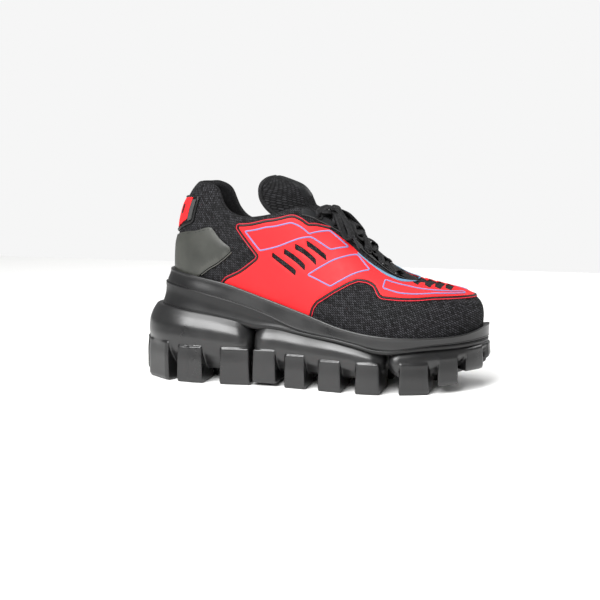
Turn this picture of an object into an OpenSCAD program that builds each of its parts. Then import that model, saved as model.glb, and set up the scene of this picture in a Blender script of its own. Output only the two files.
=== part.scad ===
// Low-cut platform sneaker, right foot: knit upper with bonded panels, padded tongue on a
// hinge, flat laces, and a moulded wedge sole with three lugged pods. Millimetres, +Z up,
// toe towards +X, origin on the floor under the middle of the sole.

/* [Overall] */
// Length of the sole, heel lug to toe lug
sole_l = 300; // [285:1:315]
// Width of the sole over the lugs at the ball of the foot
sole_w = 111; // [106:1:117]
// Height from the floor to the top of the tongue
shoe_h = 175; // [167:0.5:183]

/* [Upper] */
// Thickness of the knit shell
knit_t = 2; // [1.8:0.1:2]
// Thickness of the collar foam at the topline
foam_t = 4; // [3:0.5:4]
// Thickness of the lining
lining_t = 1; // [0.8:0.1:1]
// Thickness of the bonded colour overlay
overlay_t = 0.8; // [0.6:0.1:0.8]
// Thickness of the heel panel
heel_panel_t = 1.4; // [1:0.1:1.4]
// Radius of the piping along the overlay's edge
piping_r = 0.7; // [0.5:0.1:0.7]
// Radius of the raised accent lines
accent_r = 0.5; // [0.4:0.05:0.5]

/* [Tongue and laces] */
// Thickness of the padded tongue
tongue_t = 5; // [4:0.5:5]
// Radius of the rolled binding round the tongue's free edge
binding_r = 1.6; // [1.2:0.1:1.6]
// Width of the flat lace
lace_w = 6.4; // [5:0.2:6.4]
// Thickness of the flat lace
lace_t = 1.8; // [1.4:0.1:1.8]
// Inner radius of an eyelet
eyelet_r = 1.7; // [1.4:0.1:1.8]

/* [Sole] */
// Half width of the channel left between the lugs under the middle of the sole
channel_w = 14; // [12:1:16]
// Depth of the footbed below the top of the rim
bed_drop = 12; // [11:0.5:12]
// Thickness of the cupsole rim's wall
rim_wall = 4; // [3:0.5:4]
// Thickness of the removable sockliner
sockliner_t = 4.5; // [3:0.5:5]

/* [Hidden] */

// Size of the shoe that the stations below describe, and the scale to the driving size
base_l = 300;
base_w = 111;
base_h = 175;
scale_x = sole_l / base_l;
scale_y = sole_w / base_w;
scale_z = shoe_h / base_h;
// Side shift that brings the middle of the sole's width onto the origin
mid_y = -2.8;
// Gap between pieces that lie against each other, and between the flat footbed layers
seam = 0.2;
layer_gap = 0.4;

// ---------- helpers ----------

function mix(a, b, t) = a + (b - a) * t;
function unit(v) = v / norm(v);
function mirrored(p) = [p.x, -p.y, p.z];
function to_frame(p) = [p.x * scale_x - sole_l / 2, (p.y - mid_y) * scale_y, p.z * scale_z];
function spline(a, b, c, d, t) =
    0.5 * (2 * b + (c - a) * t + (2 * a - 5 * b + 4 * c - d) * t * t
    + (3 * b - a - 3 * c + d) * t * t * t);

// Points along a polyline of control points, rounded by the spline, steps per span
function curve(p, steps) = let (last = len(p) - 1) concat(
    [for (i = [0:last - 1], k = [0:steps - 1])
        spline(p[max(i - 1, 0)], p[i], p[i + 1], p[min(i + 2, last)], k / steps)],
    [p[last]]);

// Points along a polyline with straight spans, steps per span
function straight(p, steps) = let (last = len(p) - 1) concat(
    [for (i = [0:last - 1], k = [0:steps - 1]) mix(p[i], p[i + 1], k / steps)], [p[last]]);

module solid(points, faces) {
    polyhedron(points = [for (p = points) to_frame(p)], faces = faces, convexity = 6);
}

// Convex block round a list of points
module block(points) {
    hull() solid(points, [for (i = [0:len(points) - 3]) [i, i + 1, i + 2]]);
}

// Closed solid between two grids of points, outer and inner, rows by columns
module slab(outer, inner) {
    rows = len(outer);
    cols = len(outer[0]);
    n = rows * cols;
    points = concat([for (r = outer) each r], [for (r = inner) each r]);
    solid(points, concat(
        [for (i = [0:rows - 2], j = [0:cols - 2]) let (a = i * cols + j, b = a + cols)
            each [[a, a + 1, b + 1], [a, b + 1, b]]],
        [for (i = [0:rows - 2], j = [0:cols - 2]) let (a = n + i * cols + j, b = a + cols)
            each [[a, b, b + 1], [a, b + 1, a + 1]]],
        [for (i = [0:rows - 2]) let (a = i * cols, b = a + cols)
            each [[a, b, n + b], [a, n + b, n + a]]],
        [for (i = [0:rows - 2]) let (a = i * cols + cols - 1, b = a + cols)
            each [[b, a, n + a], [b, n + a, n + b]]],
        [for (j = [0:cols - 2]) each [[j + 1, j, n + j], [j + 1, n + j, n + j + 1]]],
        [for (j = [0:cols - 2]) let (a = n - cols + j)
            each [[a, a + 1, n + a + 1], [a, n + a + 1, n + a]]]));
}

// Solid lofted through rings that each hold side points and then the mirrored ones
module loft(rings, hollow = false) {
    n = len(rings[0]);
    top = len(rings) - 1;
    half = n / 2;
    solid([for (r = rings) each r], concat(
        [for (k = [0:hollow ? top : top - 1], j = [0:n - 1])
            let (a = k * n, b = ((k + 1) % (top + 1)) * n, m = (j + 1) % n)
            each [[a + j, b + j, b + m], [a + j, b + m, a + m]]],
        hollow ? [] : [for (j = [0:half - 2]) [j + 1, n - 2 - j, n - 1 - j, j]],
        hollow ? [] : [for (j = [0:half - 2])
            [top * n + j, top * n + n - 1 - j, top * n + n - 2 - j, top * n + j + 1]]));
}

// Tube of oval section along points; ups holds the direction of its thickness at each point
module tube(points, ups, wide, thick, sides = 8, closed = false) {
    n = len(points);
    rings = [for (i = [0:n - 1]) let (
        along = unit(points[closed ? (i + 1) % n : min(i + 1, n - 1)]
            - points[closed ? (i + n - 1) % n : max(i - 1, 0)]),
        across = unit(cross(along, ups[i])),
        up = cross(across, along))
        [for (k = [0:sides - 1]) let (a = 360 * k / sides)
            points[i] + up * thick * cos(a) + across * wide * sin(a)]];
    solid([for (r = rings) each r], concat(
        [for (i = [0:closed ? n - 1 : n - 2], k = [0:sides - 1])
            let (a = i * sides, b = ((i + 1) % n) * sides, m = (k + 1) % sides)
            each [[a + k, b + k, b + m], [a + k, b + m, a + m]]],
        closed ? [] : [[for (k = [0:sides - 1]) k]],
        closed ? [] : [[for (k = [sides - 1:-1:0]) (n - 1) * sides + k]]));
}

// ---------- sole outline and heights, by distance from the heel ----------

half_width = [[0, 74], [20, 72], [60, 57], [100, 44.5], [120, 43], [150, 46], [180, 53.6],
              [205, 60], [225, 63], [245, 64], [265, 64], [282, 62], [300, 60]];
centre_line = [[0, 0], [60, -0.5], [100, -3], [150, -4], [205, -3], [245, -1.5], [265, 0],
               [282, 1], [290, 4], [300, 8]];
rim_top = [[0, 97.5], [27, 97.5], [45, 93.5], [59, 90], [80, 85], [105, 76.5], [117, 72.7],
           [156, 61], [180, 53.5], [202, 49.5], [226, 47], [253, 46.5], [279, 47.5],
           [293, 50.5], [300, 55]];
crease = [[0, 84], [28, 81.5], [57, 77], [87, 70], [107, 64], [128, 56.2], [138, 51.8],
          [152, 48.5], [179, 45.5], [198, 42], [212, 38.5], [226, 37.5], [253, 41.3],
          [279, 42.5], [300, 44]];
pod_top = [[0, 63], [31, 62.7], [47, 60.6], [67, 58], [87, 54.5], [105, 50], [128, 50],
           [152, 46.6], [179, 43.8], [198, 40.3], [210, 36.8], [221, 36], [250, 39.3],
           [279, 40.3], [300, 41]];
pod_under = [[0, 12], [15, 9], [95, 10], [105, 14], [115, 10], [211, 9], [221, 13], [232, 9],
             [262, 13], [280, 20], [300, 30]];
lug_under = [[0, 5], [12, 0], [102, 0], [108, 4], [128, 1], [137, 0], [252, 0], [262, 4],
             [277, 9], [290, 17], [300, 25]];
lug_top = [[0, 35], [50, 31], [118, 31], [145, 28], [175, 25.5], [245, 25.5], [270, 30],
           [290, 36], [300, 38]];
rim_inset = [[0, 22], [20, 17], [40, 13], [100, 9], [200, 4.5], [300, 1.5]];
band_inset = [[0, 13.5], [20, 11], [40, 9], [100, 7], [200, 3.5], [300, 1.5]];
core_inset = [[0, 32], [40, 24], [100, 20], [140, 14], [165, 8], [205, 5.5], [225, 4.8], [260, 4],
              [300, 3]];

function bed(x) = lookup(x, rim_top) - bed_drop;
function core_top(x) = min(lookup(x, pod_top), bed(x) - 3) - 4;
function rounding(d, r) = d >= r ? 0 : r - sqrt(max(0, r * r - (r - d) * (r - d)));

// Distance across the sole to its outline on side s, inset by a table of distances
function side_y(x, inset, s) = let (
    heel = lookup(0, inset),
    half_l = (base_l - heel - lookup(base_l, inset)) / 2,
    reach = sqrt(max(0, 1 - pow((x - heel - half_l) / half_l, 2))))
    lookup(x, centre_line) + s * max(0.5, (lookup(x, half_width) - lookup(x, inset)) * reach);

// Closed outline of the sole, inset by a table of distances, at a height given by z
sole_steps = 30;
function sole_ring(inset, z) = let (
    heel = lookup(0, inset),
    half_l = (base_l - heel - lookup(base_l, inset)) / 2,
    side = function (i, s) let (x = heel + half_l - half_l * cos(180 * i / sole_steps))
        [x, side_y(x, inset, s), z(x)])
    concat([for (i = [0:sole_steps]) side(i, -1)], [for (i = [sole_steps:-1:0]) side(i, 1)]);

function shifted(table, d) = [for (r = table) [r[0], r[1] + d]];

// ---------- outsole pods ----------

// Section of a pod: share of its height, and inset from the lug faces
pod_section = [[0, 21], [0.12, 10], [0.32, 3.6], [0.55, 1.4], [0.75, 2.4], [0.9, 5.5], [1, 9.5]];
pod_steps = 16;

// One level of a pod that runs from back to front, with corner radii at its inner ends
function pod_ring(back, front, r_back, r_front, share, inset) = let (
    x0 = max(back + (r_back > 0 ? inset / 3 : 0), inset),
    x1 = min(front - (r_front > 0 ? inset / 3 : 0), base_l - inset),
    half_l = base_l / 2 - inset,
    side = function (i, s) let (
        x = mix(x0, x1, (1 - cos(180 * i / pod_steps)) / 2),
        full = (lookup(x, half_width) - inset)
            * sqrt(max(0, 1 - pow((x - base_l / 2) / half_l, 2))),
        w = full - rounding(x - x0, r_back) - rounding(x1 - x, r_front))
        [x, lookup(x, centre_line) + s * max(0.5, w),
         mix(lookup(x, pod_under), lookup(x, pod_top), share)])
    concat([for (i = [0:pod_steps]) side(i, -1)], [for (i = [pod_steps:-1:0]) side(i, 1)]);

module pod_body(back, front, r_back, r_front) {
    loft([for (s = pod_section) pod_ring(back, front, r_back, r_front, s[0], s[1])]);
}

// Point on the sole's outline at an angle round it, 0 at the heel and 180 at the toe
function edge_point(angle, inset, z) = let (
    x = base_l / 2 - (base_l / 2 - inset) * cos(angle))
    [x, lookup(x, centre_line) - (lookup(x, half_width) - inset) * sin(angle), z];

// Inner end of a lug: short of a hub line under the middle of the foot
function lug_end(angle, z) = let (
    out = edge_point(angle, 0, z),
    hub_x = min(max(out.x, 45), 262),
    hub = [hub_x, lookup(hub_x, centre_line), z])
    hub + unit(out - hub) * channel_w;

// Tread lug between two angles of the outline
module lug(a0, a1) {
    x = base_l / 2 - base_l / 2 * cos((a0 + a1) / 2);
    z0 = lookup(x, lug_under);
    z1 = lookup(x, lug_top);
    levels = [[z0, 1.6], [z0 + 2, 0], [z1 - 1.2, 0], [z1, 1.4]];
    block(concat(
        [for (l = levels, k = [0:4]) edge_point(mix(a0, a1, k / 4), l[1], l[0])],
        [for (z = [z0, z1 - 4], k = [0:2]) lug_end(mix(a0, a1, k / 2), z)]));
}

module lug_pair(a0, a1) {
    lug(a0, a1);
    lug(360 - a1, 360 - a0);
}

// Cross bar of the tread under the middle of the sole
module tread_bar(x0, x1, half_w) {
    block([for (x = [x0, x1], s = [-1, 1], z = [1, 14])
        [x, lookup(x, centre_line) + s * (z > 1 ? half_w : half_w - 2), lookup(x, lug_under) + z]]);
}

module outsole_heel_pod() {
    color("#1d1e1f") difference() {
        union() {
            pod_body(0, 104.8, 0, 12);
            lug(-11, 11);
            lug_pair(17, 37);
            lug_pair(42.8, 54);
            lug_pair(61.7, 71.7);
            tread_bar(40, 52, 9);
            tread_bar(62, 75, 9);
            tread_bar(84, 97, 9);
        }
        pod_cutter();
    }
}

module outsole_mid_pod() {
    color("#1d1e1f") difference() {
        union() {
            pod_body(105.2, 220.8, 10, 12);
            lug_pair(73.4, 80.8);
            lug_pair(84.4, 90.8);
            lug_pair(95.8, 102.9);
            lug_pair(108.4, 116);
            tread_bar(112, 124, 9);
            tread_bar(140, 152, 9);
            tread_bar(170, 183, 9);
            tread_bar(198, 210, 9);
        }
        pod_cutter();
    }
}

module outsole_toe_pod() {
    color("#1d1e1f") difference() {
        union() {
            pod_body(221.2, 300, 10, 0);
            lug_pair(123.5, 134);
            lug_pair(138.5, 148);
            lug_pair(153, 166);
            lug(173, 187);
            tread_bar(235, 248, 9);
            tread_bar(256, 266, 9);
        }
        pod_cutter();
    }
}

// ---------- midsole and cupsole ----------

// Lower part of the wedge: the core that keys into the pods, and the foot of its side band
function wedge_core(grow) = [
    sole_ring(shifted(core_inset, -grow), function (x) core_top(x) - grow),
    sole_ring(shifted(core_inset, -grow), function (x) lookup(x, pod_top) - 1 - grow),
    sole_ring(shifted(band_inset, 0.5 - grow), function (x) lookup(x, pod_top) - grow)];

// Room that the pods leave for the wedge and the foot
module pod_cutter() {
    above = 12;
    loft(concat(wedge_core(seam),
        [sole_ring(shifted(band_inset, -above), function (x) lookup(x, pod_top) + above)]));
}

// Wedge under the foot: core, side band, and the footbed inside the rim
module midsole_wedge() {
    inner = shifted(rim_inset, rim_wall + seam);
    color("#242526") loft(concat(wedge_core(0), [
        sole_ring(band_inset, function (x) lookup(x, crease) - seam),
        sole_ring(inner, function (x) lookup(x, crease) + 0.1),
        sole_ring(shifted(inner, 0.3), function (x) bed(x))]));
}

// Upper side band, with the rim that the upper sits in
module cupsole_rim() {
    color("#202122") loft([
        sole_ring(shifted(rim_inset, rim_wall), function (x) lookup(x, crease) + 0.5),
        sole_ring(shifted(band_inset, 1), function (x) lookup(x, crease) + 0.3),
        sole_ring(shifted(band_inset, 0.4), function (x) mix(lookup(x, crease), lookup(x, rim_top), 0.2)),
        sole_ring([for (r = rim_inset) [r[0], mix(lookup(r[0], band_inset) + 0.4, r[1], 0.5)]],
                  function (x) mix(lookup(x, crease), lookup(x, rim_top), 0.7)),
        sole_ring(shifted(rim_inset, 0.2), function (x) lookup(x, rim_top) - 1.5),
        sole_ring(shifted(rim_inset, 1.6), function (x) lookup(x, rim_top)),
        sole_ring(shifted(rim_inset, rim_wall - 0.6), function (x) lookup(x, rim_top) - 0.6),
        sole_ring(shifted(rim_inset, rim_wall), function (x) lookup(x, rim_top) - 2)], hollow = true);
}

// ---------- upper surface: a row of arched ribs from the feather edge to the topline ----------

last_rib = 14;
all_ribs = 2 * last_rib;
// Ribs from the heel's back, along the outer side, to the toe: where each one's foot stands
// along the rim's inner wall, then its head on the topline or the throat
foot_x = [27.2, 33, 45, 60, 74, 90, 107, 128, 152, 176, 202, 228, 254, 280, 292.1];
rib_head = [[50, 0, 170], [53.5, -11, 169.5], [61.5, -18, 168.5], [70.5, -23, 164],
            [77, -26.5, 150], [86, -28.5, 143], [100, -29.5, 140.5], [120, -29.5, 143.5],
            [144, -25, 149.5], [162, -20, 142], [180, -17, 130], [197, -14.5, 113],
            [212, -11, 96.5], [220, -6, 89.5], [223, 0, 87.5]];
// How far each rib rises straight up, how far it spreads there, how much of its width it
// keeps below the head, and how far below the head that is
rib_rise = [34, 34, 32, 28, 22, 20, 20, 22, 26, 26, 23, 26, 31, 37, 37];
rib_spread = [1, 1, 1, 1.2, 1.2, 1.2, 1.2, 1.2, 1.2, 1.2, 1.5, 1.5, 2.5, 3.5, 5];
rib_keep = [0.75, 0.8, 0.8, 0.7, 0.45, 0.35, 0.35, 0.35, 0.3, 0.3, 0.32, 0.42, 0.62, 0.92, 1.1];
rib_fall = [13, 13, 14, 15, 16, 16, 16, 18, 20, 18, 15, 12, 6, 4.5, 5];

foot_room = 1.7;
// How much lower the topline runs on the inner side, by rib
inner_drop = [0, 0, 0, 2, 5, 7, 7, 6, 3, 1, 0, 0, 0, 0, 0];
function foot(k, s) = let (x = foot_x[k], ends = k == 0 || k == last_rib)
    [x, ends ? 0 : side_y(x, shifted(rim_inset, rim_wall + seam + foot_room), s), bed(x) + layer_gap];
function rib(k, s) = let (
    foot = foot(k, s),
    head = [rib_head[k][0], rib_head[k][1] * -s, rib_head[k][2] - (s > 0 ? inner_drop[k] : 0)],
    run = foot(min(k + 1, last_rib), s) - foot(max(k - 1, 0), s),
    out = k == 0 ? [-1, 0, 0] : k == last_rib ? [1, 0, 0] : unit([-s * run.y, s * run.x, 0]),
    flat = [foot.x - head.x, foot.y - head.y, 0])
    [foot, foot + out * rib_spread[k] + [0, 0, rib_rise[k]],
     head + flat * rib_keep[k] + out - [0, 0, rib_fall[k]], head];
ribs = concat([for (k = [0:last_rib]) rib(k, -1)], [for (k = [last_rib - 1:-1:1]) rib(k, 1)]);

function rib_at(u) = let (
    i = floor(u), t = u - i,
    a = ribs[(i - 1 + 2 * all_ribs) % all_ribs], b = ribs[(i + 2 * all_ribs) % all_ribs],
    c = ribs[(i + 1 + 2 * all_ribs) % all_ribs], d = ribs[(i + 2 + 2 * all_ribs) % all_ribs])
    [for (j = [0:3]) spline(a[j], b[j], c[j], d[j], t)];
function arch(r, v) = let (w = 1 - v)
    r[0] * w * w * w + r[1] * 3 * v * w * w + r[2] * 3 * v * v * w + r[3] * v * v * v;
function skin_normal(u, v) = let (e = 0.02)
    unit(cross(arch(rib_at(u + e), v) - arch(rib_at(u - e), v),
               arch(rib_at(u), min(v + e, 1)) - arch(rib_at(u), v - e)));
// Point of the upper: u counts ribs from the heel's back, v runs from feather to topline
function skin(u, v, off) = arch(rib_at(u), v) + skin_normal(u, v) * off;

// Piece of the upper over a grid of [u, v], between two offsets given as functions of u and v
module skin_piece(grid, inner, outer) {
    slab([for (row = grid) [for (p = row) skin(p[0], p[1], outer(p[0], p[1]))]],
         [for (row = grid) [for (p = row) skin(p[0], p[1], inner(p[0], p[1]))]]);
}

// Grid over a range of u, with v limits given as functions of u
function grid(u0, u1, steps, low, high, cols) = [for (i = [0:steps])
    let (u = mix(u0, u1, i / steps)) [for (j = [0:cols]) [u, mix(low(u), high(u), j / cols)]]];

// Same grid for a mirrored piece on the inner side
function other_side(g) = [for (i = [len(g) - 1:-1:0]) [for (p = g[i]) [all_ribs - p[0], p[1]]]];

function even(off) = function (u, v) off;

// Steps shared by the layers of the upper, so that they nest: half ribs, and tenths of the height
function steps_between(a, b, step) = concat([a],
    [for (k = [ceil(a / step + 0.01):floor(b / step - 0.01)]) k * step], [b]);
function layer_grid(u0, u1, v0, v1) =
    [for (u = steps_between(u0, u1, 0.5)) [for (v = steps_between(v0, v1, 0.1)) [u, v]]];

// Where the quarter meets the vamp, and the insides of the layers behind the knit
vamp_u = 9.5;
stiffener_t = 1.4;
puff_t = 1.1;
function foam_at(u, v) = stiffener_t + seam
    + foam_t * pow(max(0, min(1, (v - 0.45) / 0.4)), 1.5) * max(0.05, min(1, (8 - abs(u)) / 1.5));

module knit_quarter() {
    color("#202124") skin_piece(
        layer_grid(-vamp_u, vamp_u, 0, 1), even(-knit_t), even(0));
}

module knit_vamp() {
    color("#202124") skin_piece(
        layer_grid(vamp_u + 0.03, all_ribs - vamp_u - 0.03, 0, 1), even(-knit_t), even(0));
}

module collar_foam() {
    color("#3a3b3d") skin_piece(
        layer_grid(-8, 8, 0.5, 0.98),
        function (u, v) -knit_t - foam_at(u, v), even(-knit_t - seam));
}

module collar_lining() {
    color("#151617") skin_piece(
        layer_grid(-vamp_u, vamp_u, 0.06, 0.98),
        function (u, v) -knit_t - seam - foam_at(u, v) - lining_t,
        function (u, v) -knit_t - seam - foam_at(u, v));
}

module vamp_lining() {
    depth = knit_t + puff_t + 2 * seam;
    color("#151617") skin_piece(
        layer_grid(vamp_u + 0.2, all_ribs - vamp_u - 0.2, 0.06, 0.97),
        even(-depth - lining_t), even(-depth));
}

module heel_stiffener() {
    color("#6b6a62") skin_piece(
        layer_grid(-5, 5, 0.05, 0.46),
        even(-knit_t - seam - stiffener_t), even(-knit_t - seam));
}

module toe_puff() {
    color("#6b6a62") skin_piece(
        layer_grid(11, 17, 0.05, 0.44),
        even(-knit_t - seam - puff_t), even(-knit_t - seam));
}

// ---------- bonded panels ----------

// Lower and upper edge of the heel panel, by rib
panel_low = [[0, 0.16], [2.7, 0.18], [3.7, 0.3], [4.75, 0.53]];
panel_high = [[0, 0.34], [0.5, 0.35], [2.35, 0.46], [3.3, 0.575], [4.75, 0.56]];

module heel_panel() {
    color("#46473f") skin_piece(
        grid(-4.7, 4.7, 36, function (u) lookup(abs(u), panel_low),
             function (u) lookup(abs(u), panel_high), 4),
        even(seam), even(seam + heel_panel_t));
}

// Tube laid on the upper along [u, v] points, moved sideways by a distance
module skin_tube(path, off, r, aside = 0, sides = 6, closed = false) {
    n = len(path);
    ups = [for (p = path) skin_normal(p[0], p[1])];
    spots = [for (p = path) skin(p[0], p[1], off)];
    tube([for (i = [0:n - 1]) let (
            along = unit(spots[closed ? (i + 1) % n : min(i + 1, n - 1)]
                - spots[closed ? (i + n - 1) % n : max(i - 1, 0)]))
            spots[i] + cross(along, ups[i]) * aside], ups, r, r, sides, closed);
}

module heel_panel_trim() {
    corners = [for (r = panel_high) if (r[0] > 0) r];
    path = straight(concat(
        [for (i = [len(corners) - 1:-1:0]) [-corners[i][0], corners[i][1]]], corners), 3);
    color("#101011") skin_tube(path, seam + 0.8, 0.75, -1.1);
}

// Outline of the colour overlay: its rear edge by share of height, its lower and upper edge by rib
overlay_rear = [[0, 4.25], [0.04, 4.42], [0.5, 6.27], [0.555, 6.27], [1, 5.3]];
overlay_low = [[0, 0.18], [5, 0.19], [6.5, 0.185], [8.1, 0.165], [8.2, 0.2], [8.4, 0.265],
               [9.04, 0.383], [9.7, 0.497], [10.1, 0.555], [10.5, 0.58], [10.75, 0.57],
               [10.85, 0.47], [11.5, 0.49], [12.5, 0.53], [13.5, 0.5], [14, 0.485]];
overlay_high = [[0, 0.838], [5.3, 0.838], [6.7, 0.9], [7.66, 0.89], [8.2, 0.8], [8.64, 0.833],
                [9.23, 0.865], [10.08, 0.825], [10.9, 0.765], [11.33, 0.74], [11.9, 0.757],
                [12.6, 0.83], [13.5, 0.87], [14, 0.87]];

module colour_overlay() {
    cols = 8;
    front_u = 8.1;
    place = function (u, w) [u, mix(lookup(u, overlay_low), lookup(u, overlay_high), w)];
    rear = [for (i = [0:7]) [for (j = [0:cols])
        place(mix(lookup(j / cols, overlay_rear), front_u, i / 8), j / cols)]];
    side = concat(rear, [for (u = [8.1, 8.2, 8.4, 8.7, 9.04, 9.4, 9.7, 10.1, 10.5, 10.75, 10.85,
                                   11.2, 11.6, 12, 12.5, 13, 13.5])
        [for (j = [0:cols]) place(u, j / cols)]]);
    toe = [for (j = [0:cols]) place(last_rib, j / cols)];
    color("#f94546") skin_piece(concat(side, [toe], other_side(side)),
        even(seam), even(seam + overlay_t));
}

rear_edge = [[4.3, 0.19], [4.42, 0.215], [5.25, 0.345], [6.25, 0.535], [6.3, 0.57], [5.8, 0.7],
             [5.3, 0.84], [6, 0.875], [6.7, 0.905], [7.66, 0.895], [8.2, 0.805], [8.64, 0.84],
             [9.2, 0.872]];
front_edge = [[8.14, 0.18], [8.22, 0.21], [8.4, 0.265], [9.04, 0.383], [9.7, 0.497], [10.1, 0.555],
              [10.5, 0.58], [10.75, 0.57], [10.8, 0.48], [11.5, 0.49], [12.5, 0.53], [13.4, 0.5]];

function other_path(p) = [for (i = [len(p) - 1:-1:0]) [all_ribs - p[i][0], p[i][1]]];

module overlay_piping() {
    height = seam + 0.7;
    aside = piping_r + 0.7;
    color("#121213") {
        skin_tube(straight(rear_edge, 2), height, piping_r, -aside);
        skin_tube(other_path(straight(rear_edge, 2)), height, piping_r, -aside);
        skin_tube(straight(concat(front_edge, [[last_rib, 0.485]], other_path(front_edge)), 2),
                  height, piping_r, aside);
    }
}

// Closed accent lines on the overlay, as [u, v] corners
accent_wing = [[5.72, 0.8], [6.7, 0.845], [7.61, 0.84], [8.26, 0.74], [9.2, 0.85], [9.95, 0.79],
               [9.16, 0.685], [8.34, 0.72], [7.2, 0.655], [6.36, 0.61]];
accent_quad = [[8.12, 0.432], [9.2, 0.61], [10.3, 0.77], [10.68, 0.688], [9.85, 0.56],
               [9.01, 0.413]];
accent_toe = [[11.28, 0.642], [11.05, 0.55], [11.53, 0.54], [12.61, 0.573], [13.75, 0.532],
              [13.8, 0.575], [12.99, 0.607], [12.0, 0.66]];

module accent_lines() {
    height = seam * 2 + overlay_t + accent_r + 0.25;
    color("#b9b6ef") for (line = [accent_wing, accent_quad, accent_toe]) {
        skin_tube(straight(concat(line, [line[0]]), 2), height, accent_r, 0, 5);
        skin_tube(other_path(straight(concat(line, [line[0]]), 2)), height, accent_r, 0, 5);
    }
}

// ---------- lacing ----------

eyestay_t = 1;
eyelet_v = 0.95;
eyelet_rows = [8.75, 9.5, 10.25, 10.95, 11.65, 12.4];

module eyestay() {
    color("#17181a") skin_piece(
        layer_grid(8, all_ribs - 8, 0.905, 0.995),
        even(seam), even(seam + eyestay_t));
}

module eyelets() {
    height = seam * 2 + eyestay_t;
    color("#0c0c0d") for (row = eyelet_rows, u = [row, all_ribs - row]) {
        n = skin_normal(u, eyelet_v);
        translate(to_frame(skin(u, eyelet_v, height)))
            rotate([0, acos(n.z), atan2(n.y, n.x)]) rotate_extrude($fn = 24)
                translate([eyelet_r, 0.45]) square([1.3, 0.75]);
    }
}

// Rows of the tongue from its root: middle of the pad, then its outer edge
tongue_root = [[[223, 80], [220, -8, 77.5]], [[212, 89], [209, -12, 84.5]],
               [[200, 102.5], [196, -15, 96.5]], [[190, 114.5], [185, -17.5, 106.5]],
               [[178.5, 128.5], [172, -18.5, 118.5]], [[166, 138], [156, -19, 127]],
               [[155, 145], [139, -19, 132.5]]];
tongue_free = [[[149.5, 148], [126, -18.5, 135]], [[147, 153], [111, -19.5, 144]],
               [[144.3, 158.5], [103.5, -20, 153]], [[138.5, 164.5], [102.5, -20, 161]],
               [[128, 168.8], [105, -18, 167]], [[119, 171.6], [109.5, -13, 170.6]],
               [[115, 172.4], [112.5, -7.5, 172]]];
tongue_cols = 10;

// Centre surface of the tongue at share s of its half width, -1 to 1
function tongue_point(row, s) = let (mid = [row[0][0], 0, row[0][1]], edge = row[1])
    [mix(mid.x, edge.x, s * s), edge.y * -s, mix(mid.z, edge.z, s * s)];
function tongue_rows(rows) = curve([for (r = rows) [[r[0][0], r[0][1], 0], r[1]]], 2);
function tongue_out(rows, i, s) = let (
    a = tongue_point(rows[max(i - 1, 0)], s), b = tongue_point(rows[min(i + 1, len(rows) - 1)], s),
    c = tongue_point(rows[i], s - 0.02), d = tongue_point(rows[i], s + 0.02))
    unit(cross(d - c, b - a));

// Pad between two shares of the tongue's thickness, over part of its width
module tongue_pad(rows, low, high, half_s = 1) {
    shares = [for (j = [0:tongue_cols]) half_s - 2 * half_s * j / tongue_cols];
    taper = function (s) 1 - 0.65 * pow(abs(s), 4);
    slab([for (i = [0:len(rows) - 1]) [for (s = shares)
             tongue_point(rows[i], s) + tongue_out(rows, i, s) * high * taper(s)]],
         [for (i = [0:len(rows) - 1]) [for (s = shares)
             tongue_point(rows[i], s) + tongue_out(rows, i, s) * low * taper(s)]]);
}

module tongue_base() {
    color("#232427") tongue_pad(tongue_rows(tongue_root), -tongue_t / 2, tongue_t / 2);
}

module tongue_flap() {
    color("#232427") tongue_pad(tongue_rows(tongue_free), -tongue_t / 2, tongue_t / 2);
}

module tongue_binding() {
    rows = tongue_rows(tongue_free);
    last = len(rows) - 1;
    away = binding_r + 0.45;
    spots = concat([for (i = [3:last]) [i, 1]], [for (s = [0.6, 0.2, -0.2, -0.6]) [last, s]],
                   [for (i = [last:-1:3]) [i, -1]]);
    edge = [for (s = spots) tongue_point(rows[s[0]], s[1])];
    path = [for (i = [0:len(spots) - 1]) let (
        along = edge[min(i + 1, len(spots) - 1)] - edge[max(i - 1, 0)],
        out = tongue_out(rows, spots[i][0], spots[i][1]))
        edge[i] + unit(cross(along, out)) * away];
    color("#161719") tube(path, [for (p = path) [0, 0.01, 1]], binding_r, binding_r, 6);
}

module tongue_label() {
    rows = tongue_rows(tongue_free);
    color("#2b2c2d") tongue_pad([for (i = [4:10]) rows[i]], tongue_t / 2 + seam,
                                tongue_t / 2 + seam + 0.8, 0.3);
}

module lace_keeper() {
    rows = tongue_rows(tongue_root);
    color("#17181a") tongue_pad([for (i = [9:10]) rows[i]], tongue_t / 2 + seam,
                                tongue_t / 2 + seam + 0.8, 0.45);
}

// Height of the lace over the tongue's middle, by distance from the heel
lace_crown = [[158, 149.5], [171, 141], [184, 131.5], [196, 118.5], [207, 105.5], [215, 96.5]];

// One lace row from the outer eyelet over the tongue to the inner one
module lace_row(u) {
    foot = skin(u, eyelet_v, eyestay_t + 3.5);
    over = skin(u, 1, eyestay_t + 4);
    crown = [over.x + 1.5, 0, lookup(over.x + 1.5, lace_crown)];
    half = [foot, over, [mix(over.x, crown.x, 0.5), over.y * 0.5, mix(over.z, crown.z, 0.8)]];
    path = curve(concat(half, [crown], [for (i = [2:-1:0]) mirrored(half[i])]), 2);
    ups = [for (p = path) [0.55, p.y / 40, 1]];
    tube(path, ups, lace_w / 2, lace_t / 2, 6);
}

module lace_rows() {
    color("#141516") for (u = eyelet_rows) lace_row(u);
}

// Where the lace is tied, over the two top rows
knot_at = [167.5, 0, 145.2];

module lace_knot() {
    color("#141516") translate(to_frame(knot_at)) rotate([90, 30, 0])
        rotate_extrude($fn = 24)
            polygon([[0, -6], [2.4, -6], [3.4, -4], [3.8, 0], [3.4, 4], [2.4, 6], [0, 6]]);
}

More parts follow.
